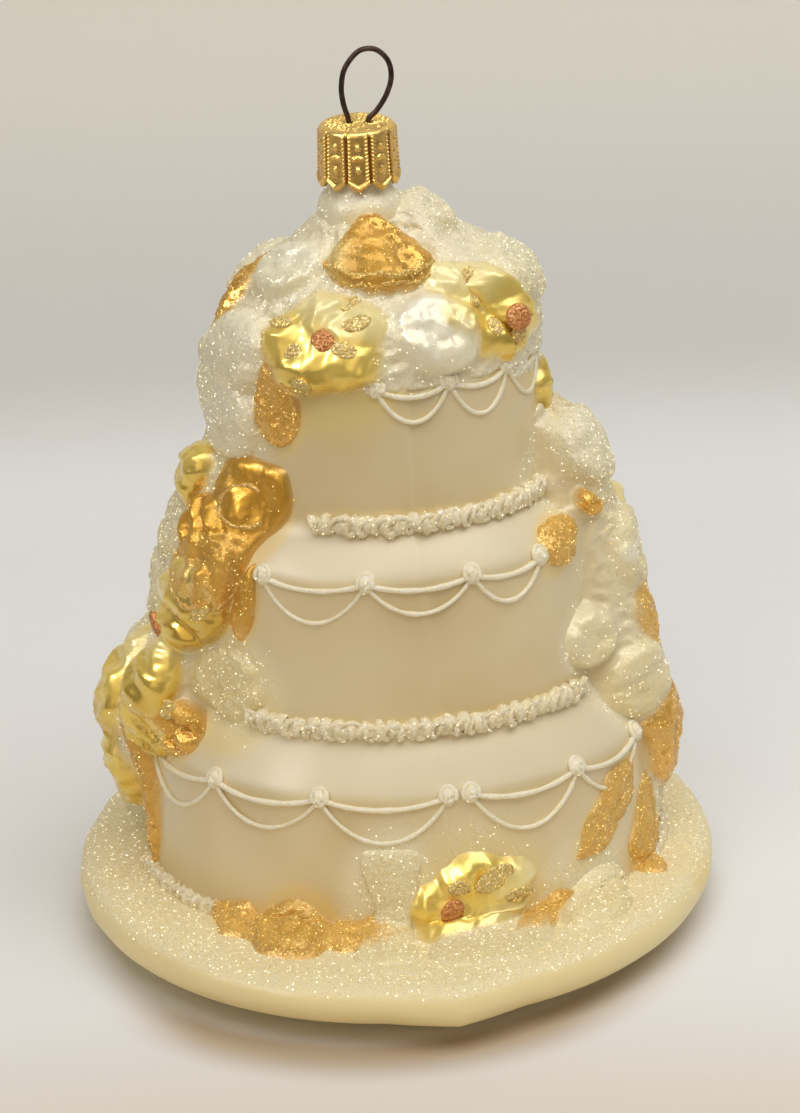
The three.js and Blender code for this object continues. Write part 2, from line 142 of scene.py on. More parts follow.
# Each flower or leaf: name if it has one, form, paint, place (angle round the glass, height, out, tilt and
# spin), size (half width, half height, depth), tone from golden to orange, and share of glitter
Flower = namedtuple("Flower", "name form paint place size tone glitter")
FLOWERS = tuple(Flower(*row) for row in (
    # the top
    ("bud", "bell", "amber", (12, 111.6, -0.5, 42, 0), (10.4, 8.4, 3.4), 0.6, 0.35),
    ("", "soft", "white", (92, 114.0, 0.2, 35, 0), (6.4, 6.6, 2.8), 0.2, 1.0),
    ("glassy_puff", "soft", "white", (-56, 108.4, 0.6, 42, 20), (8.8, 6.8, 2.8), 0.1, 0.35),
    ("side_leaf", "leaf", "amber", (-82, 104.0, 1.8, 45, 20), (2.8, 9.6, 2.2), 0.6, 0.3),
    ("front_star", "star", "yellow", (-19, 101.0, 0.2, 30, 12), (12.8, 10.4, 3.2), 0.25, 0.0),
    ("pearl_puff", "soft", "white", (28, 101.5, 0.0, 32, 30), (8.8, 8.8, 2.8), 0.0, 0.15),
    ("right_star", "star", "yellow", (70, 103.8, 2.0, 30, 30), (11.6, 12.2, 3.2), 0.25, 0.0),
    ("", "soft", "white", (84, 105.5, 5.6, 36, 0), (10.0, 8.8, 2.8), 0.3, 1.0),
    ("", "soft", "white", (-60, 99.0, 1.2, 24, 0), (9.8, 9.0, 2.8), 0.1, 0.6),
    ("", "soft", "white", (-63, 87.5, 0.4, 4, 36), (9.8, 10.0, 2.8), 0.1, 0.6),
    ("", "soft", "white", (-82, 93.0, 0.8, 10, 10), (8.0, 8.6, 2.8), 0.1, 0.8),
    ("hanging_leaf", "drop", "amber", (-37, 92.8, 0.0, 4, 4), (5.2, 8.8, 1.7), 0.4, 0.5),
    ("yellow_strip", "leaf", "yellow", (84, 88.0, 0.2, -6, -12), (2.8, 6.0, 2.6), 0.4, 0.0),
    # the left-hand cascade
    ("gold_petal", "drop", "yellow", (-77, 76.0, 2.0, 16, 180), (5.4, 6.8, 4.0), 0.7, 0.0),
    ("amber_shield", "shield", "amber", (-47, 73.6, 2.0, 14, -4), (7.6, 9.4, 2.4), 0.1, 0.1),
    ("cascade_rose", "rose", "amber", (-57, 66.0, 1.8, 14, 0), (9.4, 10.0, 3.4), 0.06, 0.4),
    ("upper_fold", "fold", "amber", (-62, 70.0, 3.6, 18, 10), (5.8, 7.0, 3.8), 0.1, 0.1),
    ("lower_fold", "fold", "amber", (-54, 61.8, 2.8, 8, -30), (5.2, 5.2, 3.6), 0.2, 0.25),
    ("", "soft", "white", (-86, 67.0, 2.8, 10, 0), (7.6, 8.2, 2.8), 0.4, 1.0),
    ("cascade_petal", "fold", "yellow", (-63, 57.4, 1.2, 4, 40), (11.0, 9.0, 3.4), 0.7, 0.0),
    ("curled_tip", "drop", "amber", (-43, 59.4, -0.2, 2, -12), (2.7, 8.2, 2.0), 0.1, 0.3),
    ("low_puff", "soft", "white", (-50, 44.8, 0.4, 10, 0), (9.4, 8.4, 1.3), 1.4, 0.8),
    ("", "soft", "white", (-96, 54.0, 1.0, 6, 20), (8.4, 9.0, 2.8), 0.3, 1.0),
    ("low_lobes", "drop", "yellow", (-86, 38.4, 6.6, 14, 8), (6.2, 11.2, 4.2), 0.5, 0.0),
    ("fold_lobe", "drop", "yellow", (-70, 44.0, 5.0, 14, -10), (6.2, 9.4, 3.8), 0.5, 0.0),
    ("", "fold", "amber", (-67, 35.6, 0.0, 20, 28), (6.0, 6.6, 3.0), 0.3, 0.4),
    ("", "fold", "yellow", (-77, 36.0, 2.6, 12, 20), (6.4, 7.4, 2.6), 0.6, 0.1),
    ("ribbon", "leaf", "amber", (-77, 20.0, -0.2, 0, 4), (3.2, 16.0, 1.8), 0.3, 0.35),
    ("left_leaf", "drop", "yellow", (-92, 25.0, 0.8, 2, 6), (5.6, 11.6, 3.0), 0.4, 0.0),
    ("", "soft", "white", (-106, 38.0, 5.0, 16, 0), (9.4, 9.0, 2.8), 0.3, 1.0),
    # the flowers on the board in front
    ("base_rose", "rose", "amber", (-23.5, 7.0, 4.6, 46, 0), (8.8, 9.4, 2.2), 0.05, 0.6),
    ("", "leaf", "amber", (-36, 7.0, 3.2, 52, 76), (4.6, 8.0, 1.6), 0.9, 0.7),
    ("", "leaf", "amber", (-9.5, 7.6, 3.2, 48, -78), (4.8, 8.4, 1.6), 0.6, 0.7),
    ("white_bow", "bow", "white", (-3, 9.4, 0.8, 34, 0), (7.6, 13.2, 1.1), 0.75, 0.9),
    ("base_star", "star", "yellow", (15.5, 11.2, 0.8, 34, 8), (13.0, 10.0, 3.0), 0.2, 0.0),
    ("", "pad", "white", (16, 6.6, 7.4, 62, 0), (13.0, 8.0, 1.2), 0.8, 1.0),
    ("", "leaf", "amber", (29, 8.6, 3.0, 46, -60), (4.2, 7.4, 1.8), 0.8, 0.6),
    ("cream_puff", "soft", "white", (42.5, 8.0, 3.2, 42, 0), (10.4, 9.0, 2.8), 0.9, 0.8),
    ("slant_leaf", "leaf", "amber", (54, 20.4, -0.2, 4, -52), (4.8, 11.6, 1.1), 0.4, 0.8),
    ("", "leaf", "amber", (71, 11.5, 0.4, 16, -12), (6.4, 11.0, 1.6), 0.5, 0.8),
    # the right-hand cascade
    ("", "soft", "white", (82, 76.5, 4.6, 24, 10), (9.6, 9.0, 2.8), 0.2, 1.0),
    ("oval_leaf", "drop", "amber", (58.5, 66.2, 0.0, 36, -62), (4.8, 6.0, 1.9), 0.3, 0.8),
    ("small_bud", "drop", "amber", (77.5, 68.8, 1.8, 24, 0), (2.2, 3.0, 2.4), 0.5, 0.4),
    ("pearl_side", "soft", "white", (86, 58.5, 2.4, 6, 0), (9.8, 9.4, 2.8), 0.8, 0.7),
    ("pearl", "pad", "white", (78, 60.0, 6.6, 16, 0), (2.7, 2.7, 2.3), 0.2, 0.0),
    ("clear_puff", "soft", "white", (67, 47.6, 0.2, 8, 30), (6.6, 6.4, 2.4), 0.7, 0.35),
    ("cream_side", "soft", "white", (79, 38.5, 4.2, 24, 0), (9.0, 8.6, 2.4), 0.9, 0.5),
    ("edge_leaf", "leaf", "amber", (85, 47.4, 3.2, 8, -12), (5.4, 12.4, 2.0), 0.5, 0.6),
    ("", "leaf", "amber", (84, 27.6, 0.8, 4, -8), (6.4, 10.4, 2.0), 0.6, 0.5),
    # the back
    ("back_star", "star", "yellow", (190, 101.0, 0.2, 30, 15), (11.0, 10.0, 3.0), 0.3, 0.0),
    ("", "soft", "white", (150, 103.0, 0.2, 34, 0), (9.4, 8.6, 2.8), 0.2, 0.8),
    ("", "soft", "white", (236, 103.0, 0.2, 34, 0), (9.4, 8.6, 2.8), 0.2, 0.8),
    ("", "drop", "amber", (214, 90.0, 0.0, 4, 10), (4.0, 7.0, 2.0), 0.5, 0.4),
    ("", "soft", "white", (108, 72.0, 2.4, 20, 0), (8.4, 8.4, 2.8), 0.3, 0.9),
    ("side_star", "star", "yellow", (106, 58.0, 0.0, 6, 0), (9.0, 9.0, 3.0), 0.4, 0.0),
    ("back_rose", "rose", "amber", (226, 68.0, 2.4, 20, 0), (8.8, 8.8, 3.0), 0.3, 0.4),
    ("", "soft", "white", (248, 62.0, 1.0, 12, 0), (7.6, 8.0, 2.8), 0.3, 0.8),
    ("", "soft", "white", (112, 42.0, 3.0, 22, 0), (8.4, 8.2, 2.8), 0.3, 0.8),
    ("", "leaf", "amber", (114, 24.0, 0.0, 2, 10), (4.4, 12.0, 3.0), 0.4, 0.6),
    ("low_back_star", "star", "yellow", (212, 41.0, 3.8, 20, 0), (9.4, 9.0, 3.0), 0.4, 0.0),
    ("", "leaf", "amber", (202, 33.0, 0.0, 14, -24), (3.4, 6.4, 2.4), 0.4, 0.6),
    ("back_base_rose", "rose", "amber", (180, 7.4, 3.2, 46, 0), (7.4, 7.0, 3.0), 0.0, 0.4),
    ("", "leaf", "amber", (167, 7.2, 3.2, 48, 76), (3.8, 7.0, 3.0), 0.8, 0.4),
    ("", "leaf", "amber", (193, 7.2, 3.2, 48, -76), (3.8, 7.0, 3.0), 0.8, 0.4),
    ("", "soft", "white", (128, 7.6, 3.2, 44, 0), (8.6, 8.0, 2.8), 0.6, 0.9),
    ("", "soft", "white", (246, 7.6, 3.2, 44, 0), (9.0, 8.4, 2.8), 0.6, 0.9),
))

# Where a flower pales, partly paint thinning to clear glass and partly a painted highlight: the way across
# and up it
PALE_HIGHLIGHT_SIDES = {
    "bud": (-0.6, -0.35), "front_star": (0.55, 0.65), "right_star": (0.1, 0.95), "base_star": (0.6, -0.5),
    "gold_petal": (0.2, -0.7), "fold_lobe": (-0.2, 0.8), "low_lobes": (0.2, 0.7),
    "cascade_petal": (-0.6, 0.6), "back_star": (0.2, 0.8), "low_back_star": (0.3, 0.8),
    "side_star": (0.0, 0.8),
}
# How much a flower's tone deepens towards its foot, as painted shade under the light from above, and how
# much it pales on its pale side, partly as paint thinning to clear glass and partly as a painted highlight
FOOT_SHADE, PALE_HIGHLIGHT_STRENGTH = 0.5, 1.1
# White flowers with a halo of another paint on the glass round them, and its strength
HALOS = {("low_puff", "yellow"): 1.0}
# The depth, the grain and the first seed of the domes of glitter, and how far they and the hems are sunk
BUTTON_DOME, DAB_DOME = (0.75, 0.10, 0), (0.35, 0.12, 40)
ROOT, HEM_SUNK = 0.6, 0.35
# Orange glitter buttons on a flower: across, up, half width, half height
BUTTONS = (
    ("front_star", 0.4, 0.4, 2.15, 2.15),
    ("right_star", 3.2, -4.0, 2.2, 2.2),
    ("base_star", -4.2, 0.8, 2.1, 2.3),
    ("cascade_petal", -6.8, -1.0, 1.2, 2.8),
    ("low_lobes", 5.4, -0.6, 1.1, 3.4),
    ("back_star", 0.0, 0.4, 2.1, 2.1),
    ("side_star", 0.0, 0.2, 1.9, 1.9),
    ("low_back_star", 0.0, 0.2, 2.0, 2.0),
)
# Gold glitter dabs on a flower: across, up, half width, half height, turn
DABS = (
    ("front_star", 6.0, 1.9, 2.4, 1.3, 10),
    ("front_star", 3.6, -1.6, 2.2, 1.3, -20),
    ("front_star", -4.6, -0.4, 1.7, 1.3, 30),
    ("front_star", -6.2, 3.9, 2.0, 1.1, -10),
    ("front_star", 5.2, 5.8, 2.2, 1.2, 25),
    ("front_star", -3.6, -5.2, 1.6, 1.9, 0),
    ("right_star", 3.3, 4.2, 2.4, 1.1, 10),
    ("right_star", -0.8, 1.8, 2.2, 1.2, -10),
    ("right_star", 0.5, -5.9, 1.5, 1.3, 0),
    ("right_star", -3.6, -2.6, 1.7, 1.2, 40),
    ("base_star", 3.4, 4.0, 3.6, 1.9, 20),
    ("base_star", -2.0, 4.4, 2.2, 1.4, -10),
    ("base_star", 6.6, -0.2, 2.6, 1.3, 0),
    ("cascade_petal", 4.2, -2.6, 2.2, 1.1, 10),
    ("fold_lobe", 4.4, -4.6, 1.8, 2.2, 0),
    ("back_star", 5.4, 2.0, 2.2, 1.2, 10),
    ("back_star", -5.0, 2.4, 2.2, 1.2, -10),
    ("back_star", 3.0, -4.6, 2.0, 1.2, -30),
    ("back_star", -3.4, -4.4, 2.0, 1.2, 30),
    ("side_star", 4.4, 1.6, 1.9, 1.0, 10),
    ("side_star", -4.2, 1.8, 1.9, 1.0, -10),
    ("low_back_star", 4.6, 1.6, 1.9, 1.1, 10),
    ("low_back_star", -4.4, 1.8, 1.9, 1.1, -10),
)
# Strings of gold glitter on a flower: middle across and up, half width, half height, first and last angle
HEMS = (
    ("bud", 0.0, -1.2, 8.6, 4.4, 188, 352),
    ("bud", 0.0, -4.6, 7.0, 2.2, 200, 340),
    ("amber_shield", -0.4, 1.2, 4.2, 3.6, 60, 330),
    ("cascade_rose", 0.6, -3.2, 6.0, 4.6, 185, 350),
    ("back_rose", 0.4, 1.8, 4.6, 4.6, 20, 215),
    ("back_rose", 0.6, -3.2, 5.0, 4.0, 185, 350),
)

# Knots of the swags round each tier, in runs with no string between one run and the next
SWAG_RUNS = (
    ((-77, -46.5, -18.5, 10.4), (15.6, 43.5, 69), (163, 193, 223, 253)),
    ((-36.5, -6.2, 23.6, 47), (132, 159.7, 187.4, 215)),
    ((0, 26.5, 53.5, 84), (138.5, 166.2, 193.8, 221.5)),
)
# How far the upper and the lower string of each tier's swags sag
SWAG_SAGS = ((1.7, 7.0), (1.4, 6.2), (1.8, 6.0))
# Where the borders run along each tier's foot, from angle to angle, and how high over it
BORDER_RUNS = (
    ((-80, -46), (68, 100), (200, 224)),
    ((-41, 60), (122, 190)),
    ((-23, 88), (126, 166), (204, 232)),
)
BORDER_RISE = 0.9
# The swags' strings: points from knot to knot, how far the upper and the lower one stand out, and the power
# of their sag
SWAG_POINTS, SWAG_OUTS, SWAG_POWER = 25, (0.25, 0.12), 0.85
# The arch over a knot: half width, foot over the rim, rise, and how far it stands out
ARCH_WIDTH, ARCH_FOOT, ARCH_RISE, ARCH_OUT = 1.25, 0.2, 1.3, 0.45
# The lump of paste under it: half width, half height, depth
KNOT = (1.3, 1.65, 1.45)
# Sides of the round strings and of the wire
STRING_SIDES, WIRE_SIDES = 10, 20
# Flakes of glitter: depth as a share of the radius, smallest and largest size, and how far they are tipped
FLAKE_DEPTH, FLAKE_SIZES, FLAKE_TIP = 0.4, (0.55, 1.25), 0.8

# The cap, and the route of the wire loop across and up
CAP = {
    "skirt": 6.45, "wall": 0.55, "top": 132.95, "shoulder": 0.9, "valley": 124.55, "tip": 123.05,
    "panels": 10, "panel_points": 40, "panel_rows": 86, "groove": 0.35, "slot": 0.3,
    "inside_z": 125.0, "top_rings": 34,
}
LEFT_LEG, RIGHT_LEG = -1.3, 1.9
LOOP_ROUTE = (
    (LEFT_LEG, 123.5), (LEFT_LEG, 130.5), (LEFT_LEG, 133.3), (-2.0, 136.1), (-2.2, 138.8), (-1.5, 141.9),
    (1.0, 144.7), (3.4, 144.8), (5.3, 143.0), (5.8, 140.3), (5.0, 137.5), (3.3, 134.8),
    (RIGHT_LEG, 133.3), (RIGHT_LEG, 130.5), (RIGHT_LEG, 123.5),
)

# The paper of the stage in metres: half its width, where it bends, the radius of the bend, its heights
# behind, and where the floor beyond the bend starts and how far it lies lower
SWEEP = {
    "half": 3.0, "bend_y": 0.16, "bend": 0.13, "mid": 0.6, "top": 1.2, "beyond": 0.17, "under": -0.0002,
}
# The painted shadow along the board's edge, an oval: one over its half width and half depth in metres, and
# its shift
SHADE_SCALE, SHADE_SHIFT = (18.7, 16.8), (0.093, 0.05)
# The lights: name, the setting that holds their power, place and size in metres, and colour
LAMPS = (
    ("key_softbox", "key", (0.16, -0.34, 0.86), (1.2, 0.6), (1.0, 0.985, 0.965)),
    ("front_panel", "front", (-0.4, -1.2, 0.5), (1.2, 0.8), (1.0, 0.78, 0.48)),
    ("side_window", "window", (-0.74, -0.52, 0.70), (0.5, 0.25), (1.0, 0.97, 0.94)),
)
# The point that the lights face, the colour of the room's light, and the camera's offset, sensor and near
# limit
LAMP_AIM = (0.0, 0.0, 0.06)
ROOM_GLOW = (1.0, 0.95, 0.88)
CAMERA_X, SENSOR_MM, CLIP_START = 0.0012, 36.0, 0.01


def length(name, description, default):
    """A size property in metres."""
    return bpy.props.FloatProperty(
        name=name, description=description, default=default, min=0.0, precision=5,
        subtype="DISTANCE", unit="LENGTH",
    )


def tint(name, description, default):
    """A linear colour property."""
    return bpy.props.FloatVectorProperty(
        name=name, description=description, default=default, min=0.0, max=1.0, size=3, subtype="COLOR"
    )


def amount(name, description, default):
    """A plain number property."""
    return bpy.props.FloatProperty(name=name, description=description, default=default, min=0.0)


class CakeGlassSettings(bpy.types.PropertyGroup):
    """Sizes and colours of the blown glass."""

    half_width: length("Board half width", "Half the board's width, left to right", 0.0537)
    half_depth: length("Board half depth", "Half the board's depth, front to back", 0.0586)
    seam_reach: length("Seam corner", "How far the corner at the mould's seam stands out", 0.0028)
    pearl: tint("Pearl", "Lacquer on the tiers", (0.82, 0.70, 0.435))
    shade: tint("Shade", "Lacquer where it lies thinner", (0.755, 0.615, 0.35))
    # Painted light: the sloping ledges are painted paler than the walls for the light from above that falls
    # on them and its sheen.
    ledge: tint("Ledge", "Lacquer on the sloping ledges", (0.84, 0.76, 0.56))
    board: tint("Board", "Cream lacquer on the board", (0.92, 0.77, 0.40))
    sugar: tint("Sugar", "Bright grains of glitter on the board", (0.98, 0.93, 0.72))


class CakeFlowerSettings(bpy.types.PropertyGroup):
    """Colours of the painted flowers."""

    yellow: tint("Yellow", "Lacquer on the star blossoms", (0.96, 0.73, 0.17))
    # Partly painted shade: deep yellow darkens folds and the foot of the star blossoms.
    yellow_deep: tint("Deep yellow", "The same at edges and in folds", (0.66, 0.42, 0.05))
    # Partly painted highlight: pale yellow also stands for the highlights on the flowers' pale sides.
    pale: tint("Pale yellow", "The same where it pales to clear glass", (0.97, 0.86, 0.43))
    amber: tint("Amber", "Lacquer on roses and leaves", (0.60, 0.31, 0.014))
    orange: tint("Orange", "The orange end of that lacquer", (0.87, 0.47, 0.09))
    # Partly painted shade: brown darkens the amber lacquer in furrows, partly as lacquer pooled there.
    brown: tint("Brown", "The same lacquer in furrows", (0.40, 0.18, 0.01))
    white: tint("White", "Lacquer on the white blossoms", (0.97, 0.94, 0.76))
    # Partly painted shade: white flowers turn to cream in furrows and towards their foot, as well as by
    # their own tone.
    cream: tint("Cream", "The creamy end of that lacquer", (0.90, 0.76, 0.39))
    crystal: tint("Crystal", "Bright grains of glitter on the white blossoms", (0.98, 0.95, 0.80))
    button: tint("Button", "Orange glitter of the centres", (0.72, 0.27, 0.08))
    button_light: tint("Light button", "Bright grains of that glitter", (0.88, 0.42, 0.14))
    gold: tint("Gold glitter", "Glitter on the dabs and hems", (0.92, 0.69, 0.22))
    gold_light: tint("Light gold glitter", "Bright grains of the dabs", (0.97, 0.80, 0.40))
    hem: length("Hem radius", "Radius of the strings of gold glitter", 0.0005)


class CakeIcingSettings(bpy.types.PropertyGroup):
    """Sizes and colour of the piped icing."""

    upper: length("Upper string radius", "Radius of the upper string of a swag", 0.00045)
    lower: length("Lower string radius", "Radius of the lower string of a swag", 0.00039)
    scroll: length("Scroll radius", "Radius of the loops of the borders", 0.0012)
    scroll_string: length("Scroll string radius", "Radius of the string of the borders", 0.00048)
    scroll_core: length("Scroll core radius", "Radius of the lumpy core under the loops", 0.0015)
    pitch: length("Scroll pitch", "Distance between loops of the borders", 0.0021)
    paste: tint("Paste", "Colour of the swags", (0.96, 0.87, 0.56))
    paste_light: tint("Light paste", "Colour of their brighter grains", (0.99, 0.95, 0.84))
    border: tint("Border", "Colour of the borders", (0.88, 0.75, 0.44))
    border_light: tint("Light border", "Colour of their brighter grains", (0.96, 0.89, 0.71))


class CakeGlitterSettings(bpy.types.PropertyGroup):
    """Size and number of the glitter flakes."""

    flake: length("Flake radius", "Radius of one flake", 0.00018)
    board: amount("Board flakes", "Flakes for each square millimetre of the board", 5.0)
    white: amount("White flakes", "Flakes for each square millimetre of white flower", 6.5)
    gold: amount("Gold flakes", "Flakes for each square millimetre of glittered amber", 7.0)
    sugar: tint("Sugar", "Colour of the white flakes", (0.98, 0.94, 0.74))
    gilt: tint("Gilt", "Colour of the gold flakes", (0.97, 0.73, 0.24))


class CakeCapSettings(bpy.types.PropertyGroup):
    """Sizes and colours of the cap and its wire."""

    radius: length("Cap radius", "Radius of the cap below its shoulder", 0.00615)
    emboss: length("Emboss", "Height of the stamped beads and leaves", 0.00036)
    wire: length("Wire radius", "Radius of the loop's wire", 0.00044)
    gold: tint("Gold", "Bright metal", (0.95, 0.66, 0.21))
    # Painted shade: dark gold for the grooves, slots and inside of the cap.
    shaded_gold: tint("Dark gold", "Metal in the grooves", (0.46, 0.23, 0.04))
    brown: tint("Brown", "Colour of the wire", (0.045, 0.026, 0.020))


class CakeStageSettings(bpy.types.PropertyGroup):
    """Camera, light and paper."""

    distance: length("Camera distance", "From the ornament's middle, along the floor", 0.700)
    height: length("Camera height", "Above the floor", 0.3445)
    aim: length("Aim height", "Height of the point in the picture's middle", 0.0615)
    lens: amount("Lens", "Focal length in millimetres", 147.49)
    roll: amount("Roll", "Turn of the camera in degrees", 2.4)
    key: amount("Key light", "Power of the large light above in front, in watts", 6.4)
    front: amount("Front light", "Power of the warm panel in front, in watts", 2.3)
    window: amount("Side window", "Power of the window that only shows in reflections, in watts", 4.5)
    fill: amount("Fill light", "Strength of the even light all round", 0.16)
    paper: tint("Paper", "Colour of the sweep's floor", (0.88, 0.89, 0.915))
    # Painted shade: the floor turns darker and warmer towards the camera.
    shaded_near_paper: tint("Near paper", "Colour of the floor nearest the camera", (0.79, 0.715, 0.62))
    # Painted shade: the floor behind the camera is dark, standing for the dim room that the tiers reflect.
    shaded_far_paper: tint("Far paper", "Colour of the floor behind the camera", (0.17, 0.158, 0.142))
    # Painted shadow: the warm shade painted on the floor along the board's front edge.
    shade: tint("Shade", "Colour of the floor's warm shade along the board's edge", (0.48, 0.36, 0.22))
    # Painted shade: the sweep is painted darker where it begins to rise and less dark higher up, for the
    # light that falls off on it.
    backdrop: tint("Backdrop", "Colour of the sweep where it begins to rise", (0.67, 0.67, 0.65))
    backdrop_top: tint("Upper backdrop", "Colour of the sweep higher up", (0.82, 0.80, 0.73))


SETTINGS = {
    "cake_glass": CakeGlassSettings,
    "cake_flowers": CakeFlowerSettings,
    "cake_icing": CakeIcingSettings,
    "cake_glitter": CakeGlitterSettings,
    "cake_cap": CakeCapSettings,
    "cake_stage": CakeStageSettings,
}


class Field:
    """A socket of a node tree, whose arithmetic adds Math nodes."""

    def __init__(self, maker, socket):
        self.maker = maker
        self.socket = socket

    def _math(self, operation, first, second):
        node = self.maker.add("ShaderNodeMath", {"operation": operation}, {0: first, 1: second})
        return Field(self.maker, node.outputs[0])

    def __add__(self, other):
        return self._math("ADD", self, other)

    def __radd__(self, other):
        return self._math("ADD", other, self)

    def __sub__(self, other):
        return self._math("SUBTRACT", self, other)

    def __rsub__(self, other):
        return self._math("SUBTRACT", other, self)

    def __mul__(self, other):
        return self._math("MULTIPLY", self, other)

    def __rmul__(self, other):
        return self._math("MULTIPLY", other, self)


class NodeMaker:
    """Adds nodes to a tree, with their settings first and then their sockets' values or links."""

    def __init__(self, tree):
        self.tree = tree

    def add(self, kind, settings=None, inputs=None):
        node = self.tree.nodes.new(kind)
        for key, value in (settings or {}).items():
            setattr(node, key, value)
        for key, value in (inputs or {}).items():
            self.feed(self.socket_of(node, key), value)
        return node

    @staticmethod
    def socket_of(node, key):
        if isinstance(key, int):
            return node.inputs[key]
        for socket in node.inputs:
            if socket.identifier == key:
                return socket
        return node.inputs[key]

    def feed(self, socket, value):
        if isinstance(value, Field):
            self.tree.links.new(value.socket, socket)
        elif isinstance(value, bpy.types.NodeSocket):
            self.tree.links.new(value, socket)
        elif socket.type == "RGBA" and len(value) == 3:
            socket.default_value = (*value, 1.0)
        else:
            socket.default_value = value


class Finish(NodeMaker):
    """A material made of nodes that read the piece's own coordinates and marks."""

    def __init__(self, name):
        self.material = bpy.data.materials.new(name)
        self.material.use_nodes = True
        super().__init__(self.material.node_tree)
        self.tree.nodes.clear()
        self.where = self.add("ShaderNodeTexCoord").outputs["Object"]

    def mark(self, name):
        return Field(self, self.add("ShaderNodeAttribute", {"attribute_name": name}).outputs["Fac"])

    def noise(self, scale, detail=2.0, rough=0.5):
        inputs = {"Vector": self.where, "Scale": scale, "Detail": detail, "Roughness": rough}
        return Field(self, self.add("ShaderNodeTexNoise", None, inputs).outputs["Fac"])

    def vector(self, operation, first, second):
        return self.add("ShaderNodeVectorMath", {"operation": operation}, {0: first, 1: second}).outputs

    def flakes(self, scale):
        """Cells of glitter: a random share for each, and the height of its tipped face."""
        cells = self.add("ShaderNodeTexVoronoi", None, {"Vector": self.where, "Scale": scale}).outputs
        way = self.vector("SUBTRACT", cells["Color"], (0.5, 0.5, 0.5))["Vector"]
        off = self.vector("SUBTRACT", self.where, cells["Position"])["Vector"]
        tipped = self.vector("DOT_PRODUCT", way, off)["Value"]
        share = self.add("ShaderNodeSeparateColor", None, {"Color": cells["Color"]}).outputs["Red"]
        return Field(self, share), Field(self, tipped)

    def span(self, field, low, high, to_low=0.0, to_high=1.0):
        """Eased from one value where the field is low to another where it is high."""
        inputs = {"Value": field, "From Min": low, "From Max": high, "To Min": to_low, "To Max": to_high}
        node = self.add("ShaderNodeMapRange", {"interpolation_type": "SMOOTHSTEP"}, inputs)
        return Field(self, node.outputs["Result"])

    def mix(self, share, first, second):
        inputs = {"Factor_Float": share, "A_Color": first, "B_Color": second}
        node = self.add("ShaderNodeMix", {"data_type": "RGBA"}, inputs)
        return next(out for out in node.outputs if out.identifier == "Result_Color")

    def bump(self, height, distance, strength, under=None):
        inputs = {"Height": height, "Distance": distance, "Strength": strength}
        if under is not None:
            inputs["Normal"] = under
        return self.add("ShaderNodeBump", None, inputs).outputs["Normal"]

    def surface(self, **inputs):
        """The finished material, from the main shader's sockets by name."""
        named = {key.replace("_", " ").title(): value for key, value in inputs.items()}
        shader = self.add("ShaderNodeBsdfPrincipled", None, named)
        self.add("ShaderNodeOutputMaterial", None, {"Surface": shader.outputs[0]})
        return self.material


def smooth(low, high, x):
    """From 0 at low to 1 at high, eased at both ends; low may be the larger."""
    t = np.clip((x - low) / (high - low), 0.0, 1.0)
    return t * t * (3.0 - 2.0 * t)


def hill(x, middle, width):
    """A smooth hump of height 1."""
    return np.exp(-(((x - middle) / width) ** 2))


def cos_sin(degrees):
    """Cosine and sine of an angle in degrees."""
    return math.cos(math.radians(degrees)), math.sin(math.radians(degrees))


def bearing_from(start, angle):
    """Degrees from one angle to another the short way round."""
    return (angle - start + 180.0) % 360.0 - 180.0


def ripple(points, scale, seed):
    """Soft seeded unevenness of about -1 to 1, from waves that cross in several directions."""
    draw = np.random.default_rng(seed)
    total = np.zeros(points.shape[:-1])
    for _ in range(8):
        way = draw.normal(size=3)
        way *= draw.uniform(0.7, 1.6) / (scale * np.linalg.norm(way))
        total += np.sin(TAU * (points @ way) + draw.uniform(0.0, TAU))
    return total / 3.4


def creases(points, scale, seed, ridge):
    """The same unevenness folded at its middle into sharp ridges of a given height."""
    return ridge - np.abs(ripple(points, scale, seed))


def round_corners(rows, reach, steps=5):
    """Rows of a profile with each corner turned into a small arc; height and half width lead each row."""
    rows = np.asarray(rows, float)
    t = np.linspace(0.0, 1.0, steps + 1)[:, None]
    parts = [rows[:1]]
    for before, at, after in zip(rows, rows[1:], rows[2:]):
        ends = []
        for leg in (before - at, after - at):
            run = math.hypot(leg[0], leg[1])
            ends.append(at + leg * min(reach, 0.45 * run) / run)
        parts.append((1 - t) ** 2 * ends[0] + 2 * t * (1 - t) * at + t**2 * ends[1])
    parts.append(rows[-1:])
    return np.concatenate(parts)


def evenly(rows, step):
    """The same profile with a row at about every step."""
    run = np.concatenate([[0.0], np.cumsum(np.hypot(np.diff(rows[:, 0]), np.diff(rows[:, 1])))])
    marks = np.linspace(0.0, run[-1], math.ceil(run[-1] / step) + 1)
    return np.stack([np.interp(marks, run, column) for column in rows.T], 1)


def wall_rows():
    """Height, half width, half depth and centre of the glass, from the first tier's foot to the mouth."""
    rows = []
    for x, base, wall, foot, rim in TIERS:
        tier = (
            (foot, base),
            ((foot + rim) / 2, (base + wall) / 2),
            (rim - LEDGE_DROP, wall),
            (rim + LEDGE_RISE, wall - LEDGE_RUN),
        )
        rows += [(z, a, a * OVAL, x, 0.0, 0.0) for z, a in tier]
    top_x, top_rim = TIERS[-1][0], TIERS[-1][4]
    for z, a in DOME:
        share = (z - top_rim) / (NECK[0][0] - top_rim)
        rows.append((z, a, a * (OVAL + (1 - OVAL) * share), top_x + (NECK_X - top_x) * share, 0.0, 0.0))
    rows += [(z, a, a, NECK_X, 0.0, 0.0) for z, a in NECK]
    return evenly(round_corners(rows, EASE), TIER_STEP)


WALL = wall_rows()


def outline(z):
    """Half width, half depth and centre of the tiers at a height."""
    return tuple(np.interp(z, WALL[:, 0], WALL[:, k]) for k in (1, 2, 3))


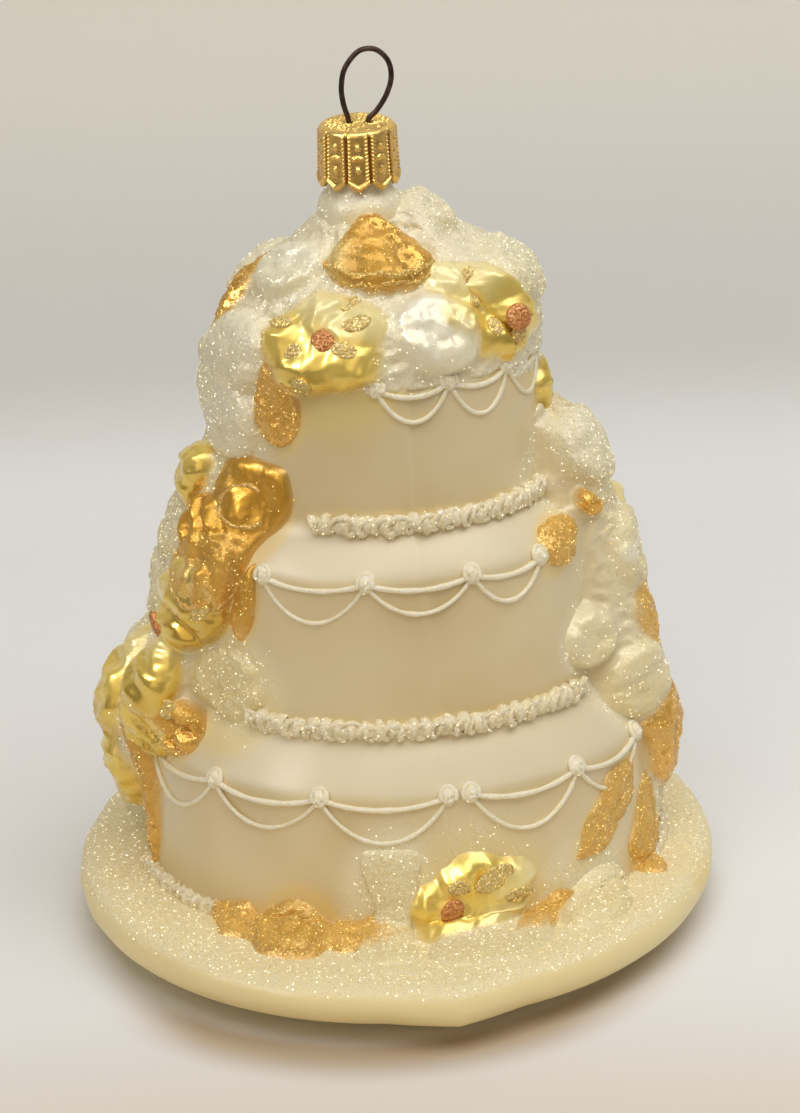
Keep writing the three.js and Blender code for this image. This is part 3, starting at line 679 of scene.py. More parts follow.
def on_ovals(z, a, b, x, y, turn):
    """Points on level ovals by height, half width, half depth, centre and turn from the front."""
    return np.stack(np.broadcast_arrays(x + a * np.sin(turn), y - b * np.cos(turn), z), -1)


def on_wall(angle, z, out):
    """Points on the tiers by angle in degrees, 0 at the front and 90 at the right, and height."""
    a, b, x = outline(z)
    return on_ovals(z, a + out, b + out, x, 0.0, np.radians(angle))


def about(axis, degrees):
    """Turn about one of the three axes."""
    i, j = (axis + 1) % 3, (axis + 2) % 3
    turn = np.eye(3)
    turn[i, i], turn[j, i] = cos_sin(degrees)
    turn[j, j] = turn[i, i]
    turn[i, j] = -turn[j, i]
    return turn


def stand(angle, z, out, tilt, spin):
    """Origin and axes of a flower on the wall: across, up along the wall, and outwards."""
    a, b, _ = outline(z)
    c, s = cos_sin(angle)
    facing = math.degrees(math.atan2(s / a, c / b))
    return on_wall(angle, z, out), about(2, facing) @ about(0, 90.0 - tilt) @ about(2, spin)


class Shell:
    """Points in millimetres, faces and marks of one mesh, gathered piece by piece."""

    def __init__(self):
        self.points = []
        self.faces = []
        self.marks = {}
        self.count = 0

    def add(self, points, faces, **marks):
        self.points.append(points)
        self.faces += [tuple(corner + self.count for corner in face) for face in faces]
        self.count += len(points)
        for key, values in marks.items():
            self.marks.setdefault(key, []).append(np.broadcast_to(values, len(points)))

    def mesh(self, name):
        mesh = bpy.data.meshes.new(name)
        mesh.from_pydata(((np.concatenate(self.points) + (0.0, 0.0, LIFT)) * MM).tolist(), [], self.faces)
        for key, parts in self.marks.items():
            layer = mesh.attributes.new(key, "FLOAT", "POINT")
            layer.data.foreach_set("value", np.concatenate(parts).astype(np.float32))
        mesh.shade_smooth()
        return mesh


def ring_skin(first, rings, last):
    """Points and faces of a closed skin over rings that run anticlockwise, seen from where it grows to."""
    levels, count = rings.shape[:2]
    points = np.concatenate([np.atleast_2d(first), rings.reshape(-1, 3), np.atleast_2d(last)])
    end = len(points) - 1
    pairs = [(i, (i + 1) % count) for i in range(count)]
    faces = []
    for i, j in pairs:
        faces.append((0, 1 + j, 1 + i))
        faces.append((end, end - count + i, end - count + j))
    for low in range(1, 1 + (levels - 1) * count, count):
        high = low + count
        faces += [(low + i, low + j, high + j, high + i) for i, j in pairs]
    return points, faces


def with_poles(first, values, last):
    """A mark for every point of a closed skin: its first pole, its rings and its last pole."""
    return np.concatenate([[first], np.ravel(values), [last]])


def show(name, mesh, material, node):
    """A finished piece: it rides on the body and stands for a node of the solids."""
    piece = bpy.data.objects.new(name, mesh)
    bpy.context.scene.collection.objects.link(piece)
    return settle(piece, material, node)


def settle(piece, material, node):
    """Gives an object its one material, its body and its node."""
    piece.data.materials.clear()
    piece.data.materials.append(material)
    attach(piece, BODY)
    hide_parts(node)
    return piece


def run_nodes(name, mesh, tree, values):
    """A new object whose mesh is what the tree makes of the given one, with no modifier left on it."""
    piece = bpy.data.objects.new(name, mesh)
    bpy.context.scene.collection.objects.link(piece)
    modifier = piece.modifiers.new(tree.name, "NODES")
    modifier.node_group = tree
    for item in tree.interface.items_tree:
        if item.in_out == "INPUT" and item.name in values:
            modifier[item.identifier] = values[item.name]
    bpy.context.view_layer.update()
    depsgraph = bpy.context.evaluated_depsgraph_get()
    made = bpy.data.meshes.new_from_object(piece.evaluated_get(depsgraph))
    piece.modifiers.remove(modifier)
    piece.data = made
    made.name = name
    bpy.data.meshes.remove(mesh)
    if not made.polygons:
        raise RuntimeError(f"{name} came out empty")
    return piece


def new_tree(name, sockets):
    """The maker of a new geometry tree with the named inputs, and the sockets that bring them."""
    tree = bpy.data.node_groups.new(name, "GeometryNodeTree")
    tree.interface.new_socket("Geometry", in_out="INPUT", socket_type="NodeSocketGeometry")
    for label, kind in sockets.items():
        tree.interface.new_socket(label, in_out="INPUT", socket_type=kind)
    tree.interface.new_socket("Geometry", in_out="OUTPUT", socket_type="NodeSocketGeometry")
    maker = NodeMaker(tree)
    return maker, maker.add("NodeGroupInput").outputs


def close_tree(maker, geometry, material):
    """Ends a tree with its instances made real and painted."""
    whole = maker.add("GeometryNodeRealizeInstances", None, {"Geometry": geometry}).outputs[0]
    painted = maker.add("GeometryNodeSetMaterial", None, {"Geometry": whole, "Material": material})
    maker.add("NodeGroupOutput", None, {"Geometry": painted.outputs[0]})
    return maker.tree


def string_tree():
    """Turns lines of points into round strings, as thick as their mark says."""
    maker, given = new_tree("piped_strings", {"Sides": "NodeSocketInt", "Material": "NodeSocketMaterial"})
    thick = maker.add("GeometryNodeInputNamedAttribute", {"data_type": "FLOAT"}, {"Name": "thickness"})
    lines = maker.add("GeometryNodeMeshToCurve", None, {"Mesh": given["Geometry"]}).outputs[0]
    circle = {"Resolution": given["Sides"], "Radius": 1.0}
    ring = maker.add("GeometryNodeCurvePrimitiveCircle", None, circle).outputs[0]
    wide = thick.outputs["Attribute"]
    inputs = {"Curve": lines, "Profile Curve": ring, "Scale": wide, "Fill Caps": True}
    string = maker.add("GeometryNodeCurveToMesh", None, inputs).outputs[0]
    even = maker.add("GeometryNodeSetShadeSmooth", None, {"Geometry": string, "Shade Smooth": True})
    return close_tree(maker, even.outputs[0], given["Material"])


def flake_tree():
    """Scatters small three-sided crystals where the surface is marked as glittered."""
    sockets = {
        "Mark": "NodeSocketString", "Number": "NodeSocketFloat", "Flake": "NodeSocketFloat",
        "Seed": "NodeSocketInt", "Material": "NodeSocketMaterial",
    }
    maker, given = new_tree("glitter_flakes", sockets)
    flake, seed = given["Flake"], given["Seed"]

    def draw(kind, **limits):
        return maker.add("FunctionNodeRandomValue", {"data_type": kind}, {**limits, "Seed": seed}).outputs

    share = maker.add("GeometryNodeInputNamedAttribute", {"data_type": "FLOAT"}, {"Name": given["Mark"]})
    number = Field(maker, given["Number"]) * Field(maker, share.outputs["Attribute"])
    spots = maker.add(
        "GeometryNodeDistributePointsOnFaces",
        {"distribute_method": "RANDOM"},
        {"Mesh": given["Geometry"], "Density": number, "Seed": seed},
    ).outputs
    deep = Field(maker, flake) * FLAKE_DEPTH
    cone = {"Vertices": 3, "Radius Top": 0.0, "Radius Bottom": flake, "Depth": deep}
    crystal = maker.add("GeometryNodeMeshCone", None, cone).outputs["Mesh"]
    size = draw("FLOAT", Min_001=FLAKE_SIZES[0], Max_001=FLAKE_SIZES[1])[1]
    most = (FLAKE_TIP, FLAKE_TIP, math.pi)
    tip = draw("FLOAT_VECTOR", Min=[-turn for turn in most], Max=most)[0]
    laid = maker.add(
        "GeometryNodeInstanceOnPoints",
        None,
        {"Points": spots["Points"], "Instance": crystal, "Rotation": spots["Rotation"], "Scale": size},
    ).outputs[0]
    turned = {"Instances": laid, "Rotation": tip}
    tipped = maker.add("GeometryNodeRotateInstances", None, turned).outputs[0]
    marked = maker.add(
        "GeometryNodeStoreNamedAttribute",
        {"data_type": "FLOAT", "domain": "INSTANCE"},
        {"Geometry": tipped, "Name": "bright", "Value": draw("FLOAT")[1]},
    )
    return close_tree(maker, marked.outputs[0], given["Material"])


def lines_mesh(name, paths):
    """A mesh of open lines from pairs of points in millimetres and thickness in metres."""
    points, edges, thick = [], [], []
    for path, radius in paths:
        start = len(points)
        points += ((np.asarray(path) + (0.0, 0.0, LIFT)) * MM).tolist()
        thick += np.broadcast_to(radius, len(path)).tolist()
        edges += [(start + i, start + i + 1) for i in range(len(path) - 1)]
    mesh = bpy.data.meshes.new(name)
    mesh.from_pydata(points, edges, [])
    for key, values in (("thickness", thick), ("glitter", np.ones(len(thick)))):
        mesh.attributes.new(key, "FLOAT", "POINT").data.foreach_set("value", np.array(values, np.float32))
    return mesh


def pipe(name, paths, sides, material, node):
    """A finished piece of round strings along lines of points."""
    values = {"Sides": sides, "Material": material}
    return settle(run_nodes(name, lines_mesh(name, paths), string_tree(), values), material, node)


# The forms of the flowers. Each takes shares across and up, from -1 to 1, and a seed. It gives the height
# as a share of the depth, the share from middle to edge, and a mark for folds and furrows.


def petal_beat(turn, petals):
    """How near the furrow beside its petal a turn lies, and which petal that is."""
    beat = petals * turn / TAU
    return 2.0 * np.abs(beat - np.round(beat)), np.round(beat).astype(int) % petals


def dome(r, power, blunt):
    """Height of a blunt dome that ends where r is 1."""
    return np.clip(1.0 - r**power, 0.0, 1.0) ** blunt


def star_form(u, v, seed):
    """Five petals with furrows between them and a dimple in the middle."""
    furrow, petal = petal_beat(np.arctan2(-u, v), 5)
    own = np.random.default_rng(seed).uniform(0.78, 1.18, 5)[petal]
    r = np.hypot(u, v) * (0.94 + 0.14 * furrow**1.4)
    rise = smooth(0.05, 0.62, r)
    height = dome(r, 3.0, 0.9) * (0.68 + 0.36 * own * rise * (1.0 - furrow)) - 0.10 * hill(r, 0.0, 0.24)
    return height, r, furrow * rise


def soft_form(u, v, seed):
    """Five round petals of uneven size about a small round middle."""
    draw = np.random.default_rng(seed)
    r = np.hypot(u, v)
    tops = [np.sqrt(np.clip(1.0 - (r / 0.27) ** 2, 0.0, 1.0)) * 0.8]
    for k in range(5):
        turn = TAU * (k + draw.uniform(-0.12, 0.12)) / 5.0 + seed
        size = draw.uniform(0.42, 0.54)
        away = np.hypot(u - 0.56 * math.cos(turn), v - 0.56 * math.sin(turn)) / size
        tops.append(np.sqrt(np.clip(1.0 - away**2, 0.0, 1.0)) * draw.uniform(0.8, 1.1))
    top = np.log(sum(np.exp(9.0 * part) for part in tops)) / 9.0
    return dome(r, 3.0, 0.8) * (0.25 + 0.7 * np.clip(top, 0.0, 1.2)), r, smooth(0.6, 0.2, top)


def rose_form(u, v, seed):
    """Petals rolled in a spiral, each with a lip."""
    turn = np.arctan2(-u, v)
    r = np.hypot(u, v) / (0.96 + 0.04 * np.cos(5 * turn))
    step = (turn / TAU + 1.7 * r + 0.37 * seed) % 1.0
    lip = smooth(0.0, 0.75, step) * smooth(1.0, 0.84, step)
    return dome(r, 2.8, 0.8) * (0.66 + 0.34 * lip * smooth(0.0, 0.3, r)), r, 1.0 - lip


def fold_form(u, v, seed):
    """A petal folded in waves."""
    r = np.hypot(u, v)
    wave = np.abs(np.cos(math.pi * (1.5 * u + 0.4 * v + 0.2 * np.sin(3.0 * v + seed)))) ** 0.7
    return dome(r, 2.8, 0.75) * (0.42 + 0.58 * wave), r, 1.0 - wave


def shield_form(u, v, seed):
    """A leaf of blunt outline, narrower below, with a raised rim and a bulge."""
    across = np.abs(u) / (1.0 - 0.6 * smooth(0.5, -1.0, v) + 0.06 * np.sin(5.0 * v + 1.0))
    r = (across**5 + np.abs(v) ** 5) ** 0.2
    bulge = np.exp(-((u + 0.1) ** 2 + (v + 0.05) ** 2) / 0.12)
    return dome(r, 8.0, 1.0) * (0.50 + 0.12 * r**2 + 0.45 * bulge), r, 0.4 * bulge


def leaf_form(u, v, seed):
    """A pointed leaf with a wavy edge, a sunk rib and veins."""
    wavy = 1.0 + 0.16 * np.sin(7.0 * v + seed)
    r = np.maximum(v**2 + np.sqrt(u**2 + 0.006) * wavy - 0.077, 0.0)
    rib = hill(u, 0.0, 0.12)
    veins = np.cos(TAU * (3.0 * v - 2.2 * np.abs(u)))
    return dome(r, 1.5, 1.0) * (0.95 - 0.16 * rib + 0.04 * veins), r, rib


def drop_form(u, v, seed):
    """A smooth petal, narrower above."""
    r = np.hypot(u / (0.62 + 0.38 * smooth(0.9, -0.5, v)), v)
    return dome(r, 2.6, 0.7) * (0.84 + 0.16 * smooth(0.6, -0.5, v)), r, 0.0 * r


def bell_form(u, v, seed):
    """A pleated bell, wider below, with a raised hem."""
    across = u / (0.52 + 0.48 * smooth(0.9, -0.7, v))
    r = np.hypot(across, v)
    hem = hill(v, -0.72, 0.14)
    pleat = np.cos(TAU * 1.5 * across + 0.6) * smooth(0.35, -0.2, v)
    swell = 0.74 + 0.18 * smooth(0.2, -0.7, v) + 0.13 * pleat
    height = dome(r, 3.0, 0.6) * swell + 0.12 * hem * dome(r, 4.0, 1.0)
    return height, r, np.clip(0.5 - 0.5 * pleat, 0.0, 1.0)


def bow_form(u, v, seed):
    """A bow with a narrow waist and fine pleats along it."""
    r = ((np.abs(u) / (0.40 + 0.60 * np.abs(v) ** 1.4)) ** 4 + v**4) ** 0.25
    return dome(r, 7.0, 1.0) * (0.86 + 0.14 * np.cos(9.0 * u)), r, 0.0 * r


def pad_form(u, v, seed):
    """A plain round pad."""
    r = np.hypot(u, v)
    return dome(r, 2.0, 0.6), r, 0.0 * r


FORMS = {
    "star": star_form, "soft": soft_form, "rose": rose_form, "fold": fold_form, "shield": shield_form,
    "leaf": leaf_form, "drop": drop_form, "bell": bell_form, "bow": bow_form, "pad": pad_form,
}
# From which share of its reach a form sinks, by form and otherwise, and where it has reached the glass
HOLD = {"star": 0.6, "soft": 0.6, "rose": 0.7, "fold": 0.7, "shield": 0.94, "bow": 0.9}
PLAIN_HOLD, GROUND = 0.76, 1.14
# How far each form is crumpled, in millimetres, in wide creases and in fine ones
CRUMPLE = {
    "star": (0.75, 0.2), "soft": (0.35, 0.2), "rose": (0.6, 0.3), "fold": (0.6, 0.2), "bell": (0.5, 0.25),
    "shield": (0.35, 0.1), "leaf": (0.3, 0.25), "drop": (0.8, 0.2), "bow": (0.15, 0.1), "pad": (0.1, 0.05),
}
# The widths of those creases, and how high the ridges stand on flowers and on the glass between them
WIDE_CREASE, FINE_CREASE, PETAL_RIDGE, LUMP_RIDGE = 7.0, 2.8, 0.6, 0.45
PAINTS = ("yellow", "amber", "white")


def flower_height(flower, x, y):
    """Height of a flower over its own plane, the share to its edge, and its furrows, at places on it."""
    half_width, half_height, depth = flower.size
    seed = int(abs(flower.place[0]) * 7 + flower.place[1] * 13)
    height, r, furrow = FORMS[flower.form](x / half_width, y / half_height, seed)
    flat = np.stack([x, y, 0.0 * x], -1)
    wide, fine = CRUMPLE[flower.form]
    uneven = wide * creases(flat, WIDE_CREASE, seed, PETAL_RIDGE)
    uneven = uneven + fine * creases(flat, FINE_CREASE, seed + 1, PETAL_RIDGE)
    return depth * height + uneven * smooth(1.0, 0.8, r), r, furrow


def outward(grid):
    """Unit normals of a grid of points whose columns run round the glass and whose rows run up it."""
    normal = np.cross(np.roll(grid, -1, 1) - np.roll(grid, 1, 1), np.gradient(grid, axis=0))
    return normal / np.maximum(np.linalg.norm(normal, axis=2, keepdims=True), 1e-9)


class Skin:
    """A region of the glass with its bodies, and its flowers moulded on it."""

    def __init__(self, rows, turns, bodies):
        z, a, b, x, y, _ = (column[:, None] for column in rows.T)
        fill = np.zeros((len(rows), len(turns)))
        self.veil = np.full(fill.shape, -SUNK)
        self.tone = np.zeros(fill.shape)
        for name in bodies:
            widths, front, back, tone = BODIES[name]
            over = np.interp(z, *zip(*widths)) - a
            edge = np.interp(z, *zip(*front))
            side = np.sign(back - edge)
            inside = smooth(*FRONT_FADE, side * (turns - edge)) * smooth(*BACK_FADE, side * (back - turns))
            fill = np.maximum(fill, inside * np.maximum(over, 0.0))
            self.veil = np.maximum(self.veil, -SUNK + inside * (SUNK + np.clip(over, -SUNK, 0.0)))
            self.tone = np.maximum(self.tone, inside * tone)
        fill = soften(fill, BODY_EASE)
        self.base = on_ovals(z, a + fill, b + BODY_OVAL * fill, x, y, np.radians(turns))
        self.normal = outward(self.base)
        steps = np.linalg.norm(np.diff(self.base, axis=0, prepend=self.base[:1]), axis=2)
        self.up = np.cumsum(steps, axis=0)
        steps = np.linalg.norm(self.base - np.roll(self.base, 1, 1), axis=2)
        self.round = np.cumsum(steps, axis=1)
        self.whole = self.round[:, -1:]

    def middle(self, flower):
        """Row and column nearest to a flower's place."""
        away = np.linalg.norm(self.base - stand(*flower.place)[0], axis=2)
        return np.unravel_index(np.argmin(away), away.shape)

    def plan(self, flower):
        """Distances across and up a flower from its middle, along the glass."""
        i, j = self.middle(flower)
        across = self.round - self.round[:, j : j + 1]
        across = (across + self.whole / 2.0) % self.whole - self.whole / 2.0
        across = np.where(np.abs(across) < 0.3 * self.whole, 0.5 * (across + across[i]), 1000.0)
        up = self.up - 0.5 * (self.up[i] + self.up[i, j])
        c, s = cos_sin(flower.place[4])
        return c * across + s * up, c * up - s * across

    def mould(self, flowers):
        """Pushes the flowers out of the glass; keeps the points and the marks of their paints."""
        crumple = sum(size * creases(self.base, scale, seed, LUMP_RIDGE) for size, scale, seed in LUMPS)
        level = np.exp((self.veil + crumple) / BLEND)
        veil = np.exp((self.veil + crumple) / BLUR)
        paint = veil + math.exp(BARE / BLUR)
        marks = {key: np.zeros(level.shape) for key in (*PAINTS, "tone", "furrow", "sugar", "gilt")}
        marks["white"] += veil
        marks["tone"] += self.tone * veil
        marks["sugar"] += BODY_SUGAR * veil
        marks["gilt"] += BODY_GILT * np.maximum(self.tone - CHAMPAGNE, 0.0) * veil
        for flower in flowers:
            half_width, half_height, _ = flower.size
            x, y = self.plan(flower)
            near = (np.abs(x) < 1.5 * half_width + 2.0) & (np.abs(y) < 1.5 * half_height + 2.0)
            height, r, furrow = flower_height(flower, x[near], y[near])
            out = -SUNK + (height + SUNK) * smooth(GROUND, HOLD.get(flower.form, PLAIN_HOLD), r)
            level[near] += np.exp(out / BLEND)
            share = np.exp(out / BLUR)
            paint[near] += share
            marks[flower.paint][near] += share
            u, v = x[near] / half_width, y[near] / half_height
            # Painted shade: the tone deepens towards the flower's foot, darker on yellow and white flowers
            # and more orange on amber ones.
            tone = flower.tone + FOOT_SHADE * smooth(0.3, -0.9, v)
            # Partly painted highlight, partly paint thinning to clear glass: the tone falls towards the
            # flower's pale side.
            if flower.name in PALE_HIGHLIGHT_SIDES:
                right, up = PALE_HIGHLIGHT_SIDES[flower.name]
                tone = tone - PALE_HIGHLIGHT_STRENGTH * smooth(-0.4, 0.6, right * u + up * v)
            marks["tone"][near] += share * tone
            # The furrow mark: the finish deepens the lacquer there, partly as pooled lacquer and partly as
            # painted shade.
            marks["furrow"][near] += share * furrow
            marks["sugar" if flower.paint == "white" else "gilt"][near] += share * flower.glitter
        self.points = self.base + BLEND * np.log(level)[..., None] * self.normal
        self.marks = {key: value / paint for key, value in marks.items()}
        return self


def region_of(flower):
    """The region that a flower lies in."""
    angle, z = flower.place[:2]
    if z < BOARD_REGION:
        return "board_flowers"
    if z > TOP_REGION:
        return "top_flowers"
    return "right_flowers" if 0.0 < angle < 180.0 else "left_flowers"


def flower_skins(glass):
    """The moulded skin of each region by name."""
    profile, board_rows = glass_skin(glass)
    place = np.concatenate([np.linspace(-9.0, 0.5, board_rows), profile[board_rows:, 0]])
    inner = np.arange(len(profile)) >= len(profile) - len(BORE)
    skins = {}
    for name, low, high, first, last, radius, bodies in REGIONS:
        rows = profile[(place >= low) & (place <= high) & ~inner]
        skin = Skin(soften(evenly(rows, MESH), CORNER_EASE), fine_turns(first, last, radius), bodies)
        skins[name] = skin.mould([flower for flower in FLOWERS if region_of(flower) == name])
    return skins


def seat(skins, name, across, up):
    """Origin and axes of a spot on the moulded skin, given across and up from a flower's middle."""
    flower = next(flower for flower in FLOWERS if flower.name == name)
    skin = skins[region_of(flower)]
    x, y = skin.plan(flower)
    spot = np.unravel_index(np.argmin(np.hypot(x - across, y - up)), x.shape)
    normal = outward(skin.points)[spot] + 0.6 * skin.normal[spot]
    normal /= np.linalg.norm(normal)
    side = np.cross(stand(*flower.place)[1][:, 1], normal)
    side /= np.linalg.norm(side)
    return skin.points[spot], np.stack([side, np.cross(normal, side), normal], 1)


def dome_rings(half_width, half_height, depth, levels, count, turn=0.0):
    """Rings of a low oval dome with a short root."""
    steps = np.linspace(1.0, 0.0, levels, endpoint=False)
    r = np.concatenate([[0.8], steps])[:, None]
    z = np.concatenate([[-ROOT], depth * np.sqrt(1.0 - steps**2)])[:, None]
    t = np.linspace(0.0, TAU, count, endpoint=False)[None, :]
    x = -half_width * r * np.sin(t)
    y = half_height * r * np.cos(t)
    c, s = cos_sin(turn)
    return np.stack([c * x - s * y, s * x + c * y, z + 0.0 * t], -1)


def add_dome(shell, spot, rings, glitter):
    """Closes the rings of a dome and sets it on a spot of the glass."""
    origin, axes = spot
    points, faces = ring_skin((0.0, 0.0, -ROOT), rings, rings[-1].mean(0))
    shell.add(points @ axes.T + origin, faces, glitter=glitter)


# Materials


def pearl_finish(glass, flowers):
    """Satin pearl on the tiers, with painted light from above on the ledges, and cream on the board, misted
    with paint round the flowers.
    """
    f = Finish("pearl_lacquer")
    cloud = f.noise(scale=38.0)
    share, tipped = f.flakes(3600.0)
    glitter = f.mark("glitter")
    board = f.mark("board")
    base = f.mix(f.span(cloud, 0.35, 0.68), glass.shade, glass.pearl)
    # Painted light: the ledge mark makes the lacquer paler where the ledges face the light above; it also
    # makes them duller.
    ledge = f.mark("ledge")
    base = f.mix(ledge * 0.7, base, glass.ledge)
    base = f.mix(board, base, glass.board)
    base = f.mix(f.mark("veil"), base, flowers.white)
    base = f.mix(f.mark("yellow_mist"), base, flowers.yellow)
    base = f.mix(f.mark("amber_mist"), base, flowers.gold)
    sugar = f.mix(share, glass.board, glass.sugar)
    base = f.mix(glitter * 0.6, base, sugar)
    peel = f.bump(f.noise(scale=420.0), distance=0.00004, strength=0.35)
    dull = glitter + board + ledge * 0.8
    return f.surface(
        base_color=base,
        metallic=f.span(dull, 0.0, 1.0, 0.12, 0.0),
        roughness=f.span(dull, 0.0, 1.0, 0.34, 0.42),
        coat_weight=f.span(dull, 0.0, 1.0, 0.5, 0.1),
        coat_roughness=0.28,
        normal=f.bump(tipped * glitter, distance=1.0, strength=0.5, under=peel),
    )


def flower_finish(glass, flowers):
    """Lacquers of the flowers by their marks, deeper at each foot as painted shade and in furrows as pooled
    lacquer and painted shade, under sugar and gilt glitter.
    """
    f = Finish("painted_flowers")
    drift = f.noise(scale=160.0, detail=3.0)
    share, tipped = f.flakes(3400.0)
    yellow, amber, white = (f.mark(key) for key in PAINTS)
    tone, furrow, sugar, gilt = (f.mark(key) for key in ("tone", "furrow", "sugar", "gilt"))
    # Deep: the tone with its painted shade and painted highlight, darker in furrows as pooled lacquer and
    # painted shade, and random drift.
    deep = tone * 0.7 + f.span(furrow, 0.5, 1.0) * 0.25 + (drift - 0.5) * 0.5
    base = f.mix(white, glass.pearl, f.mix(deep, flowers.white, flowers.cream))
    warm = f.mix(tone + (drift - 0.5) * 0.8, flowers.amber, flowers.orange)
    # Amber pales on its pale side: partly paint thinning to clear glass, partly a painted highlight.
    warm = f.mix(f.span(tone, 0.1, -0.5), warm, flowers.pale)
    # Brown in the furrows of the amber lacquer: partly pooled lacquer, partly painted shade.
    base = f.mix(amber, base, f.mix(f.span(furrow, 0.35, 1.0, 0.0, 0.7), warm, flowers.brown))
    clear = f.mix(f.span(deep, 0.1, -0.6), flowers.yellow, flowers.pale)
    base = f.mix(yellow, base, f.mix(f.span(deep, 0.1, 1.0), clear, flowers.yellow_deep))
    crystal = f.mix(tone, flowers.crystal, flowers.cream)
    base = f.mix(sugar * 0.6, base, f.mix(share, flowers.cream, crystal))
    base = f.mix(gilt * 0.7, base, f.mix(f.span(share, 0.1, 0.8), flowers.orange, flowers.gold))
    glitter = sugar + gilt
    gloss = (yellow + amber) * f.span(tone, 0.35, 0.6)
    metal = yellow * f.span(tone, 0.0, -0.7, 0.5, 0.1) + amber * 0.6 + gloss * 0.2 + white * 0.15
    soft = f.bump(drift, distance=0.0003, strength=0.3)
    return f.surface(
        base_color=base,
        metallic=metal * f.span(glitter, 0.1, 0.7, 1.0, 0.3),
        roughness=f.span(glitter - gloss, -0.6, 0.6, 0.22, 0.42),
        coat_weight=f.span(glitter + amber * 0.6 + yellow * 0.3, 0.1, 0.9, 0.7, 0.15),
        coat_roughness=0.06,
        normal=f.bump(tipped * glitter, distance=1.0, strength=0.7, under=soft),
    )


def icing_finish(name, colour, light):
    """Grainy paste of fine sugar."""
    f = Finish(name)
    share, tipped = f.flakes(4200.0)
    base = f.mix(f.span(share, 0.2, 0.9), colour, light)
    soft = f.bump(f.noise(scale=1500.0, rough=0.6), distance=0.0002, strength=0.5)
    normal = f.bump(tipped, distance=1.0, strength=0.5, under=soft)
    return f.surface(base_color=base, roughness=0.4, coat_weight=0.2, normal=normal)


def glitter_paint_finish(name, colour, light):
    """Paint full of fine glitter."""
    f = Finish(name)
    share, tipped = f.flakes(3200.0)
    base = f.mix(f.span(share, 0.15, 0.95), [0.75 * c for c in colour], light)
    normal = f.bump(tipped, distance=1.0, strength=0.7)
    return f.surface(base_color=base, metallic=0.2, roughness=0.3, normal=normal)


def flake_finish(name, colour, metallic):
    """Single flakes, some of them mirrors, and a few that glow with a painted glint."""
    f = Finish(name)
    bright = f.mark("bright")
    base = f.mix(f.span(bright, 0.0, 0.8), [0.72 * c for c in colour], colour)
    mirror = f.span(bright, 0.8, 0.9)
    # Painted light: the brightest few flakes glow through their emission colour as painted glints.
    painted_glint = f.mix(f.span(bright, 0.89, 0.99), (0.0, 0.0, 0.0), [0.9 * c for c in colour])
    return f.surface(
        base_color=base,
        metallic=mirror * 0.4 + metallic,
        roughness=0.24,
        coat_weight=0.3,
        coat_roughness=0.05,
        emission_color=painted_glint,
        emission_strength=1.0,
    )


def cap_finish(cap):
    """Bright stamped metal with painted shade in its grooves, slots and inside, and random wear."""
    f = Finish("stamped_gold")
    wear = f.noise(scale=700.0, detail=3.0)
    # Painted shade: this mark darkens grooves, slots, the inside and the ground between the stamped beads,
    # mixed with random wear.
    base = f.mix(f.mark("recess") + (wear - 0.5) * 0.4, cap.gold, cap.shaded_gold)
    rough = f.span(wear, 0.3, 0.7, 0.22, 0.38)
    normal = f.bump(f.noise(scale=2600.0), distance=0.0001, strength=0.5)
    return f.surface(base_color=base, metallic=0.85, roughness=rough, normal=normal)


def wire_finish(cap):
    """Worn brown coating on spring wire."""
    f = Finish("brown_spring_wire")
    wear = f.noise(scale=900.0, detail=3.0)
    base = f.mix(f.span(wear, 0.35, 0.75), cap.brown, [2.2 * c for c in cap.brown])
    rough = f.span(wear, 0.3, 0.7, 0.32, 0.5)
    normal = f.bump(wear, distance=0.00005, strength=0.4)
    return f.surface(base_color=base, metallic=0.6, roughness=rough, normal=normal)


def paper_finish(stage):
    """Pale paper with painted shade: a painted shadow along the board's front edge, a darker floor towards
    and behind the camera and a darker rising backdrop; it hides nothing from a camera behind it.
    """
    f = Finish("sweep_paper")
    fibre = f.noise(scale=60.0, detail=3.0)
    x, y, z = (Field(f, out) for out in f.add("ShaderNodeSeparateXYZ", None, {"Vector": f.where}).outputs)
    floor = f.mix(fibre, [0.985 * c for c in stage.paper], stage.paper)
    # Painted shade: darker, warmer floor towards the camera.
    floor = f.mix(f.span(y, -0.03, -0.10), floor, stage.shaded_near_paper)
    # Painted shadow: a warm oval band on the floor along the board's front edge, fading out to the left and
    # weaker to the right.
    across = x * SHADE_SCALE[0] + SHADE_SHIFT[0]
    along = y * SHADE_SCALE[1] + SHADE_SHIFT[1]
    away = across * across + along * along
    ring = f.span(away, 0.68, 0.84) * f.span(away, 1.24, 0.86) * f.span(across, -0.88, -0.50)
    ring = ring * f.span(across, 0.95, 0.45, 0.35, 0.9)
    floor = f.mix(ring, floor, stage.shade)
    # Painted shade: dark floor behind the camera for the dim room that the tiers reflect.
    floor = f.mix(f.span(y, -0.13, -0.30), floor, stage.shaded_far_paper)
    # Painted shade: darker paper where the sweep rises, less dark higher up.
    base = f.mix(f.span(z, 0.001, 0.018), floor, stage.backdrop)
    base = f.mix(f.span(z, 0.02, 0.085), base, stage.backdrop_top)
    paper = f.add("ShaderNodeBsdfPrincipled", None, {"Base Color": base, "Roughness": 0.7}).outputs[0]
    clear = f.add("ShaderNodeBsdfTransparent").outputs[0]
    behind = f.add("ShaderNodeNewGeometry").outputs["Backfacing"]
    sides = f.add("ShaderNodeMixShader", None, {0: behind, 1: paper, 2: clear}).outputs[0]
    f.add("ShaderNodeOutputMaterial", None, {"Surface": sides})
    return f.material


# Pieces


